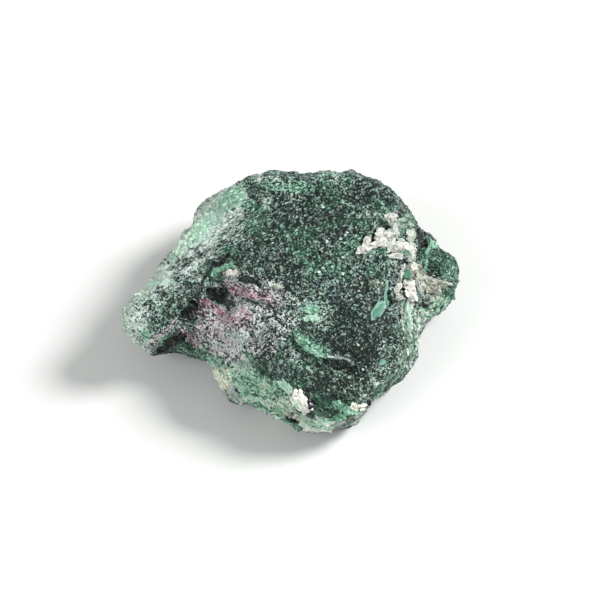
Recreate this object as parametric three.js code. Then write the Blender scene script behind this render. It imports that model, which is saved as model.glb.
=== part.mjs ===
// A rough, unpolished piece of ruby in fuchsite: one lump of dark green mica schist with a ruby-bearing
// hollow on its left, a blunt nose at the left end, a lower lobe at the right end and a crest of flaky white
// mica between that lobe and the main block. It lies on its flat underside, as it would on a table.
//
// The lump is described by a field, in millimetres, that is negative inside the stone. A grid of cubic cells
// is laid over it, and the stone's faces are stretched between the cells that its surface runs through.

import * as THREE from 'three';
import { ImprovedNoise } from 'three/addons/math/ImprovedNoise.js';

// Driving dimensions, in millimetres. +X is across the stone, +Y is away from its front, +Z is up.
const MIDDLE_HEIGHT = 9.5;

// The grid's two far corners and its cell size.
const GRID = { low: [-30, -26, -0.65], high: [30, 26, 26], cell: 1.25 };

// Where the outline below is seen from: how far from the stone's middle, and how steeply, from in front.
const EYE_DISTANCE = 270;
const EYE_ELEVATION = THREE.MathUtils.degToRad(55);

// The stone's outline as seen from the eye: [across, up] from its middle, clockwise from the tip of the nose.
// It is cut into that many straight steps, and the stone meets it with an edge as soft as the blend.
const OUTLINE = [
  [-25.6, -2.3], [-25.0, -0.1], [-23.8, 1.4], [-22.0, 2.3], [-21.1, 3.7], [-19.2, 6.6], [-17.1, 8.2],
  [-16.2, 10.1], [-15.0, 11.7], [-15.1, 13.2], [-13.6, 15.2], [-11.1, 16.8], [-8.6, 17.9], [-6.8, 19.1],
  [-4.4, 19.6], [-2.3, 20.2], [0.4, 19.9], [2.3, 19.5], [4.8, 19.9], [7.6, 19.9], [10.5, 19.6], [13.3, 18.9],
  [15.2, 17.5], [17.0, 15.6], [18.6, 13.3], [20.0, 11.2], [21.7, 10.1], [23.0, 8.3], [24.9, 6.9], [25.8, 5.2],
  [25.6, 2.3], [24.6, -0.8], [22.5, -2.3], [20.7, -3.8], [19.6, -5.8], [19.5, -8.6], [18.2, -10.7],
  [15.4, -13.6], [12.6, -15.9], [11.5, -17.8], [9.4, -19.0], [7.3, -19.6], [4.1, -20.1], [1.6, -19.9],
  [0.2, -18.9], [-2.3, -17.4], [-5.1, -16.2], [-9.3, -15.0], [-10.4, -12.9], [-12.5, -10.4], [-15.3, -9.0],
  [-18.1, -8.1], [-20.3, -8.8], [-21.9, -7.7], [-23.8, -6.2], [-25.2, -4.0],
];
const OUTLINE_STEPS = 220;
const OUTLINE_BLEND = 1.2;

// The main block's broken faces: the compass direction that each looks in, from +X towards +Y, how far it
// looks up, in degrees, and its distance from the block's middle, in millimetres.
const BLOCK = {
  middle: [4, 1, MIDDLE_HEIGHT],
  edge: 1.6,
  faces: [
    { name: 'plateau', heading: -110, up: 80, distance: 9.2 },
    { name: 'back', heading: 88, up: 28, distance: 20.5 },
    { name: 'back_right', heading: 40, up: 28, distance: 20.5 },
    { name: 'right', heading: -5, up: 14, distance: 17 },
    { name: 'front_right', heading: -42, up: 30, distance: 17.5 },
    { name: 'front', heading: -80, up: 44, distance: 16 },
    { name: 'front_left', heading: -128, up: 12, distance: 18.5 },
    { name: 'ruby_slope', heading: -150, up: 56, distance: 12 },
    { name: 'left', heading: 175, up: 28, distance: 19.5 },
    { name: 'upper_left', heading: 132, up: 36, distance: 21.5 },
    { name: 'under_front', heading: -90, up: -44, distance: 16 },
    { name: 'under_left', heading: 170, up: -48, distance: 14.5 },
    { name: 'under_back', heading: 85, up: -42, distance: 17.5 },
    { name: 'under_right', heading: 0, up: -44, distance: 15.5 },
  ],
};

// Lumps that grow out of the block: bars with round ends, from one point to another, and how softly each
// one joins.
const LUMPS = [
  { name: 'nose', from: [-20.4, -3.2, 8.0], to: [-16, -1.5, 8.2], radius: 5.9, blend: 2.5 },
  { name: 'nose_root', from: [-15, -3, 6.5], to: [-6, -6, 6], radius: 6.0, blend: 3 },
  { name: 'shoulder', from: [-17, 4.5, 9.6], to: [-6.5, 7, 13.4], radius: 5.0, blend: 2 },
  { name: 'pale_flank', from: [-12, 11.5, 9.5], to: [-7, 14.5, 10.5], radius: 6.0, blend: 3 },
  { name: 'ruby_boss', from: [-0.6, -6.4, 10.1], to: [-4.5, -7.0, 8.6], radius: 7.2, blend: 2 },
  { name: 'right_lobe', from: [17, 4.4, 7.6], to: [20.4, 5.6, 7.6], radius: 6.7, blend: 2.5 },
  { name: 'front_skirt', from: [-8, -12.6, 4.6], to: [6, -15.5, 4.2], radius: 5.2, blend: 2.5 },
  { name: 'mica_crest', from: [10.6, 2.2, 19.1], to: [16.2, 5.6, 19.2], radius: 1.3, blend: 0.6 },
  { name: 'mica_rib', from: [16.6, 3.0, 18.6], to: [17.4, -4.6, 16.2], radius: 1.5, blend: 0.6 },
  { name: 'mica_rib_foot', from: [17.4, -4.6, 16.2], to: [18.0, -8.6, 13.6], radius: 1.4, blend: 0.6 },
];

// Hollows and grooves taken out of it, in the same way.
const HOLLOWS = [
  { name: 'ruby_hollow', from: [-8.2, -2.4, 17.0], to: [-10.6, -3.4, 14.8], radius: 2.1, blend: 1.4 },
  { name: 'ruby_groove', from: [-10.6, -3.4, 14.8], to: [-15.6, -5.6, 13.0], radius: 1.9, blend: 1.4 },
  { name: 'nose_notch', from: [-14.6, -9.2, 9.4], to: [-18.4, -9.6, 7.0], radius: 2.1, blend: 1.6 },
  { name: 'lower_face', from: [1.5, -16.5, 18.4], to: [11, -17.5, 17.6], radius: 4.0, blend: 1.2 },
  { name: 'lobe_step', from: [21.0, 8.5, 16.8], to: [21.0, -1.5, 15.4], radius: 2.6, blend: 1.6 },
  { name: 'bright_shelf', from: [0.2, -20.6, 12.2], to: [3.0, -20.8, 11.6], radius: 2.4, blend: 0.5 },
  { name: 'small_shelf', from: [8.6, -20.0, 10.6], to: [11.2, -19.6, 10.2], radius: 1.9, blend: 0.5 },
];

// Low swells and dents over the whole surface: size across, height and the place in the noise they come from.
const SWELLS = [
  { size: 11, height: 1.0, shift: 17.3 },
  { size: 5.2, height: 0.55, shift: 34.6 },
  { size: 2.7, height: 0.3, shift: 51.9 },
];

// The schist's layers lie along the plateau, so they show as ledges where the surface cuts down through
// them. The ledges begin at one depth below the plateau and are full at another, and stand out more in some
// places than in others. The layers wave: size across and height of each wave.
const LEDGES = {
  pitch: 2.6,
  depth: 0.35,
  begin: 3,
  full: 7,
  evenness: 0.6,
  patches: { size: 6, tall: 4, shift: 8.4 },
  waves: [{ size: 8, height: 2.2, shift: 3.1 }, { size: 3, height: 0.8, shift: 5.7 }],
};

// Drawing a vertex in to the surface: the width of the probe that finds the slope there, the least slope that
// counts, and the farthest it may move in one step.
const PROBE = 0.02;
const LEAST_SLOPE = 0.3;
const LONGEST_STEP = 0.3;

const noise = new ImprovedNoise();
const middle = new THREE.Vector3(0, 0, MIDDLE_HEIGHT);

function facing(heading, up) {
  const h = THREE.MathUtils.degToRad(heading);
  const u = THREE.MathUtils.degToRad(up);
  return new THREE.Vector3(Math.cos(h) * Math.cos(u), Math.sin(h) * Math.cos(u), Math.sin(u));
}

const blockMiddle = new THREE.Vector3(...BLOCK.middle);
const blockFaces = BLOCK.faces.map((f) => ({ normal: facing(f.heading, f.up), distance: f.distance }));

// The block: a convex body between its faces, with the edges rounded off.
function blockField(p) {
  const q = p.clone().sub(blockMiddle);
  const sum = blockFaces.reduce((s, f) => s + Math.exp((q.dot(f.normal) - f.distance) / BLOCK.edge), 0);
  return BLOCK.edge * Math.log(sum);
}

const asBar = (b) => ({
  line: new THREE.Line3(new THREE.Vector3(...b.from), new THREE.Vector3(...b.to)),
  radius: b.radius,
  blend: b.blend,
});
const lumps = LUMPS.map(asBar);
const hollows = HOLLOWS.map(asBar);

const nearest = new THREE.Vector3();
function barField(p, bar) {
  bar.line.closestPointToPoint(p, true, nearest);
  return nearest.distanceTo(p) - bar.radius;
}

// The smaller, or the larger, of two fields, with a soft seam as wide as the blend.
function softMin(a, b, blend) {
  const h = Math.max(blend - Math.abs(a - b), 0) / blend;
  return Math.min(a, b) - (h * h * blend) / 4;
}
const softMax = (a, b, blend) => -softMin(-a, -b, blend);

// The outline as a closed chain of short straight steps.
const outlineCurve = new THREE.CatmullRomCurve3(
  OUTLINE.map(([across, up]) => new THREE.Vector3(across, up, 0)), true, 'centripetal');
const outline = outlineCurve.getSpacedPoints(OUTLINE_STEPS).slice(0, OUTLINE_STEPS);

// How far a point of the eye's picture lies outside the outline.
function outlineField(across, up) {
  let least = Infinity;
  let inside = false;
  for (let i = 0, j = outline.length - 1; i < outline.length; j = i++) {
    const a = outline[i];
    const b = outline[j];
    const dx = b.x - a.x;
    const dy = b.y - a.y;
    const along = THREE.MathUtils.clamp(((across - a.x) * dx + (up - a.y) * dy) / (dx * dx + dy * dy), 0, 1);
    least = Math.min(least, Math.hypot(across - a.x - along * dx, up - a.y - along * dy));
    const crosses = a.y > up !== b.y > up && across < (dx * (up - a.y)) / dy + a.x;
    if (crosses) inside = !inside;
  }
  return inside ? -least : least;
}

// The same for a point in space, as the eye sees it.
function seenField(p) {
  const height = p.z - MIDDLE_HEIGHT;
  const up = p.y * Math.sin(EYE_ELEVATION) + height * Math.cos(EYE_ELEVATION);
  const nearer = height * Math.sin(EYE_ELEVATION) - p.y * Math.cos(EYE_ELEVATION);
  const scale = EYE_DISTANCE / (EYE_DISTANCE - nearer);
  return outlineField(p.x * scale, up * scale) / scale;
}

function swell(p) {
  return SWELLS.reduce((sum, { size, height, shift }) => (
    sum + height * noise.noise(p.x / size + shift, p.y / size + shift, p.z / size - shift)
  ), 0);
}

const plateau = blockFaces[0];
function ledges(p) {
  const { pitch, depth, begin, full, evenness, patches, waves } = LEDGES;
  const below = plateau.distance - p.clone().sub(blockMiddle).dot(plateau.normal);
  const uneven = noise.noise(p.x / patches.size, p.y / patches.size, patches.shift + p.z / patches.tall);
  const shown = THREE.MathUtils.smoothstep(below, begin, full) * (evenness + uneven);
  const waved = waves.reduce((sum, { size, height, shift }) => (
    sum + height * noise.noise(p.x / size, p.y / size, shift)
  ), below);
  return shown * depth * Math.sin((2 * Math.PI * waved) / pitch);
}

function stoneField(p) {
  let f = blockField(p);
  for (const lump of lumps) f = softMin(f, barField(p, lump), lump.blend);
  for (const hollow of hollows) f = softMax(f, -barField(p, hollow), hollow.blend);
  f += swell(p) + ledges(p);
  f = softMax(f, seenField(p), OUTLINE_BLEND);
  return Math.max(f, -p.z);
}

// Moves a point square to the surface, by as much as the field there says.
const probe = new THREE.Vector3();
function drawIn(p) {
  const at = (x, y, z) => stoneField(probe.set(p.x + x, p.y + y, p.z + z));
  const f = at(0, 0, 0);
  const rise = [at(PROBE, 0, 0) - f, at(0, PROBE, 0) - f, at(0, 0, PROBE) - f];
  const slope = new THREE.Vector3(...rise).divideScalar(PROBE);
  const step = f / Math.max(slope.lengthSq(), LEAST_SLOPE);
  p.addScaledVector(slope, -THREE.MathUtils.clamp(step, -LONGEST_STEP, LONGEST_STEP));
}

// The grid's corners, each with its place and the field there.
const counts = GRID.low.map((low, axis) => Math.ceil((GRID.high[axis] - low) / GRID.cell));
const cornerNumber = (i, j, k) => i + (counts[0] + 1) * (j + (counts[1] + 1) * k);
function gridCorners() {
  const corners = [];
  for (let k = 0; k <= counts[2]; k++) {
    for (let j = 0; j <= counts[1]; j++) {
      for (let i = 0; i <= counts[0]; i++) {
        const place = new THREE.Vector3(...GRID.low).addScaledVector(new THREE.Vector3(i, j, k), GRID.cell);
        corners.push({ place, field: stoneField(place) });
      }
    }
  }
  return corners;
}

// A cell's eight corners as steps from its lowest one, and the twelve edges between them.
const CUBE = [0, 1, 2, 3, 4, 5, 6, 7].map((n) => [n & 1, (n >> 1) & 1, n >> 2]);
const CUBE_EDGES = CUBE.flatMap((_, a) => [1, 2, 4].filter((bit) => !(a & bit)).map((bit) => [a, a | bit]));

// One vertex for each cell that the surface runs through: the mean of where it cuts the cell's edges.
function cellVertex(corners, i, j, k) {
  const around = CUBE.map(([x, y, z]) => corners[cornerNumber(i + x, j + y, k + z)]);
  const cuts = CUBE_EDGES.map(([a, b]) => [around[a], around[b]])
    .filter(([a, b]) => a.field > 0 !== b.field > 0)
    .map(([a, b]) => a.place.clone().lerp(b.place, a.field / (a.field - b.field)));
  if (!cuts.length) return null;
  const mean = cuts.reduce((sum, cut) => sum.add(cut), new THREE.Vector3()).divideScalar(cuts.length);
  drawIn(mean);
  return mean;
}

function stoneGeometry() {
  const corners = gridCorners();
  const points = [];
  const numbers = new Map();
  const triangles = [];
  // A grid edge that the surface cuts has four cells round it, and their vertices make two triangles.
  const stretch = (ring, outwards) => {
    const [a, b, c, d] = (outwards ? ring : ring.reverse()).map((cell) => numbers.get(cell));
    const short = points[a].distanceTo(points[c]) < points[b].distanceTo(points[d]);
    triangles.push(...(short ? [a, b, c, a, c, d] : [a, b, d, b, c, d]));
  };
  for (let k = 0; k < counts[2]; k++) {
    for (let j = 0; j < counts[1]; j++) {
      for (let i = 0; i < counts[0]; i++) {
        const vertex = cellVertex(corners, i, j, k);
        if (!vertex) continue;
        numbers.set(cornerNumber(i, j, k), points.length);
        points.push(vertex);
        const here = corners[cornerNumber(i, j, k)].field > 0;
        [[1, 0, 0], [0, 1, 0], [0, 0, 1]].forEach(([x, y, z]) => {
          if (here === corners[cornerNumber(i + x, j + y, k + z)].field > 0) return;
          const back = (u, v) => cornerNumber(i - u * y - v * z, j - u * z - v * x, k - u * x - v * y);
          stretch([back(0, 0), back(1, 0), back(1, 1), back(0, 1)], here);
        });
      }
    }
  }
  const geometry = new THREE.BufferGeometry().setFromPoints(points).setIndex(triangles);
  geometry.computeVertexNormals();
  return geometry;
}

const schist = new THREE.MeshStandardMaterial({ color: 0x52635c, roughness: 0.6, metalness: 0.0 });
const stone = new THREE.Mesh(stoneGeometry(), schist);
stone.name = 'stone';

// The origin goes under the middle of the stone's bounding box, at the level of its underside.
const box = new THREE.Box3().setFromObject(stone);
const centre = box.getCenter(new THREE.Vector3());
stone.position.set(-centre.x, -centre.y, -box.min.z);

const group = new THREE.Group();
group.add(stone);

export default group;
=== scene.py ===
"""Ruby in fuchsite, a rough stone: its broken surface, grains and flakes, with floor, light and camera."""

import math
from typing import NamedTuple

import bmesh
import bpy
import numpy as np
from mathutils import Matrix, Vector, noise
from mathutils.bvhtree import BVHTree


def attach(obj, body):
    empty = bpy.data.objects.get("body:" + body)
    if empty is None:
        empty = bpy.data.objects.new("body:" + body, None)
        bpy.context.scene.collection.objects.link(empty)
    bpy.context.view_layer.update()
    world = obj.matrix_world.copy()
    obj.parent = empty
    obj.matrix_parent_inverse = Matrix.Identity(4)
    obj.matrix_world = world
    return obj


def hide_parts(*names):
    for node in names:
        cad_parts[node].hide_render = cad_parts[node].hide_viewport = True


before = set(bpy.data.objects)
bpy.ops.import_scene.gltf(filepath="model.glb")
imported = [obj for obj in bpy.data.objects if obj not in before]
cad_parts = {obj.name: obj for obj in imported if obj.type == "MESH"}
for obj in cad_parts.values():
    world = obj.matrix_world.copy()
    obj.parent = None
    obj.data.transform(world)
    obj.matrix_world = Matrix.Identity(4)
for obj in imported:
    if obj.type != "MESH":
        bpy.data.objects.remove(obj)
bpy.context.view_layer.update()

# The stone is shaped in millimetres and stored in metres
MM = 0.001

# How the photograph sees the stone
EYE_DISTANCE = 270.0
EYE_ELEVATION = math.radians(55)
MIDDLE = np.array([-0.362, -1.624, 9.5])
AXIS_OFFSET = (1.54, 0.15)
VIEW_WIDTH = 92.28
SENSOR_WIDTH = 36.0
RIGHTWARD = np.array([1.0, 0.0, 0.0])
UPWARD = np.array([0.0, math.sin(EYE_ELEVATION), math.cos(EYE_ELEVATION)])
AHEAD = np.array([0.0, math.cos(EYE_ELEVATION), -math.sin(EYE_ELEVATION)])

# The mica layers lie square to this direction
LAYER_AXIS = np.array([-0.06, -0.16, 0.985])

# Fineness of the carved surface, and how many grains lie on it
CARVE_LEVELS = 3
SURFACE_TRIANGLES = 190_000
GRAIN_COUNT = 20_000

# Sparkling grains, whose sparkle is painted by giving them the palest grain colour: their share of all
# grains, and how much larger they are
SPARK_SHARE = 0.012
SPARK_GROWTH = 1.4

# Sizes of the grains in mm: the least half length and its spread, and the ranges of half width and height
LEAST_HALF_LENGTH = 0.11
HALF_LENGTH_SPREAD = 0.08
GRAIN_HALF_WIDTHS = (0.06, 0.11)
GRAIN_HEIGHTS = (0.06, 0.14)

# How unevenly the grains are tilted, and how far their headings stray, in radians, where they have one
GRAIN_TILT = 0.25
FABRIC_STRAY = 0.4

# Outline and form of a flake of half length 1, how its height grows with its half length in mm, and how far
# its heading strays from its bed's, in radians
FLAKE_CORNERS = 12
FLAKE_WAVE = 0.16
FLAKE_THICKNESS = 0.16
HEIGHT_BASE = 0.6
HEIGHT_GROWTH = 0.3
HEADING_STRAY = 0.35

# How far flakes stand off the carved surface, in mm: mica, bright faces, and the leaf's heart over its rim
FLAKE_LIFT = 0.09
GLINT_LIFT = 0.3
HEART_LIFT = 0.12

# No point of a flake is lower than this above the floor, in mm
FLAKE_FOOT = 0.05

# Where each stream of random numbers starts
FLAKE_SEED = 5
GLINT_SEED = 6
GRAIN_SEED = 7
SINGLE_SEED = 8
DUSKY_SEED = 9


def srgb(red, green, blue):
    """A colour given as 0 to 255 screen values, as the linear colour that a shader takes."""
    screen = np.array([red, green, blue]) / 255
    linear = np.where(screen <= 0.04045, screen / 12.92, ((screen + 0.055) / 1.055) ** 2.4)
    return (*linear.tolist(), 1.0)


# Colours of the minerals: the dark and the pale grains of each
SCHIST_DARK, SCHIST_PALE = srgb(12, 31, 25), srgb(170, 204, 190)
UMBER_DARK, UMBER_PALE = srgb(30, 33, 28), srgb(178, 188, 174)
SLATE_DARK, SLATE_PALE = srgb(17, 25, 32), srgb(162, 180, 186)
MOSS_DARK, MOSS_PALE = srgb(26, 64, 48), srgb(144, 196, 170)
SUGAR_DARK, SUGAR_PALE = srgb(30, 44, 39), srgb(210, 228, 219)
SALT_DARK, SALT_PALE = srgb(22, 31, 30), srgb(214, 222, 219)
BLUSH_DARK, BLUSH_PALE = srgb(56, 43, 52), srgb(222, 207, 215)
RUBY_DARK, RUBY_PALE = srgb(132, 80, 104), srgb(224, 186, 203)
FUCHSITE_DARK, FUCHSITE_PALE = srgb(58, 104, 84), srgb(178, 222, 200)
MICA_DARK, MICA_PALE = srgb(172, 179, 170), srgb(233, 232, 226)
BUFF_DARK, BUFF_PALE = srgb(138, 142, 128), srgb(220, 219, 208)
# Painted shade: the dark and the pale grains where shade falls in the hollows and clefts
SHADE_DARK, SHADE_PALE = srgb(7, 13, 11), srgb(84, 98, 92)
FLOOR_WHITE = srgb(246, 246, 245)

# Colours of the flakes, from dark to pale
WHITE_FLAKES = (srgb(158, 167, 158), srgb(208, 213, 204), srgb(232, 233, 226), srgb(242, 236, 232))
BUFF_FLAKES = (srgb(152, 159, 144), srgb(190, 194, 179), srgb(218, 219, 207), srgb(240, 236, 230))
CREAM_FLAKES = (srgb(96, 130, 106), srgb(196, 214, 186), srgb(240, 243, 222), srgb(250, 250, 240))
SAGE_FLAKES = (srgb(88, 116, 98), srgb(148, 176, 156), srgb(196, 218, 200), srgb(232, 240, 228))
MINT_FLAKES = (srgb(54, 98, 76), srgb(104, 160, 132), srgb(166, 214, 188), srgb(216, 240, 224))
STREAKY_FLAKES = (
    srgb(40, 76, 60), srgb(88, 144, 114), srgb(140, 190, 160), srgb(196, 224, 204), srgb(238, 242, 234),
)
GREEN_FLAKES = (srgb(28, 46, 39), srgb(56, 92, 74), srgb(104, 148, 124))
# Near-black slits: painted shade in the cracks between the layers
SHADE_SLIT_FLAKES = (srgb(10, 18, 15), srgb(30, 52, 42))
LEAF_GREEN = (srgb(82, 140, 118), srgb(94, 152, 130))
LEAF_RIM = (srgb(122, 172, 154), srgb(146, 190, 172))
VIOLET_FLAKES = (srgb(22, 14, 28), srgb(56, 42, 66))
SLATE_FLAKES = (srgb(46, 56, 62), srgb(104, 118, 122))
GREY_FLAKES = (srgb(112, 130, 124), srgb(158, 170, 165), srgb(196, 202, 197))


# Places on the stone: a line of points, as (across, up) in mm from its middle in the photograph's plane,
# the half width of the strip along it, and how strongly it shows. Many of the rows, and nearly all of the
# tones, were fitted to differences measured between renders and the photograph

# Ruby: the streaks, and the pink blush about them
RUBY_STREAKS = [
    ([(-8.6, 1.5), (-7.6, 1.3)], 0.65, 1.0),
    ([(-7.4, 1.5), (-6.2, 1.2), (-5.0, 0.9)], 0.55, 1.0),
    ([(-5.0, 0.7), (-2.8, -0.2)], 0.4, 0.7),
    ([(-13.4, 0.2), (-12.2, -0.4)], 0.45, 0.9),
    ([(-12.0, -0.9), (-10.8, -1.7), (-9.6, -2.8), (-9.0, -3.4)], 0.65, 1.0),
    ([(-8.4, -2.6), (-7.7, -3.2)], 0.35, 0.9),
    ([(-7.6, -1.4), (-6.4, -2.1)], 0.5, 0.7),
    ([(-10.9, -4.2), (-10.2, -5.0)], 0.35, 0.8),
    ([(-15.5, -4.6), (-14.8, -5.8)], 0.4, 0.4),
    ([(-7.4, -4.7), (-6.9, -5.1)], 0.2, 0.6),
    ([(-11.8, -7.3), (-10.9, -7.7)], 0.28, 0.9),
]
RUBY_BLUSH = [
    ([(-13.1, -1.6), (-8.9, -3.2), (-7.2, -2.6)], 1.7, 0.7),
    ([(-13.8, -4.2), (-11.8, -5.2)], 1.2, 0.7),
    ([(-9.6, 2.6), (-5.2, 1.4), (-2.4, 0.2)], 0.9, 0.75),
    ([(-11.6, 2.4), (-10.2, 2.5)], 0.5, 0.6),
    ([(-11.0, -5.4), (-8.4, -6.6)], 1.2, 0.6),
    ([(-11.8, -7.6), (-7.4, -8.6)], 1.0, 0.6),
    ([(-16.2, -4.9), (-14.4, -6.2)], 0.9, 1.0),
    ([(-21.8, -6.8), (-20.0, -5.4), (-17.8, -3.4)], 0.5, 0.9),
]

# Beds of black and white pepper
SALT_BEDS = [
    ([(-8.0, -0.4), (-2.0, 0.4)], 2.0, 1.0),
    ([(-6.0, -2.6), (-1.8, -3.6)], 2.4, 1.0),
    ([(-5.6, -6.6), (-3.4, -7.6)], 1.6, 0.9),
    ([(-12.4, -3.4), (-9.8, -5.0)], 1.4, 0.6),
    ([(-6.5, 3.0), (-1.0, 2.0)], 1.2, 0.8),
    ([(-17.5, 5.4), (-13.5, 6.4)], 0.9, 0.5),
]

# Beds where the speckle has less contrast
HAZE_BEDS = [
    ([(-19.5, 4.0), (-14.0, 6.2), (-10.0, 9.6)], 1.6, 1.0),
    ([(-13.0, 8.6), (-9.0, 12.6)], 1.2, 0.8),
    ([(2.4, -2.0), (4.4, -2.0)], 1.2, 1.0),
    ([(5.0, -15.6), (8.4, -16.4)], 0.8, 0.6),
    ([(17.8, 4.0), (18.3, -6.0)], 0.6, 0.6),
]
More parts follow.
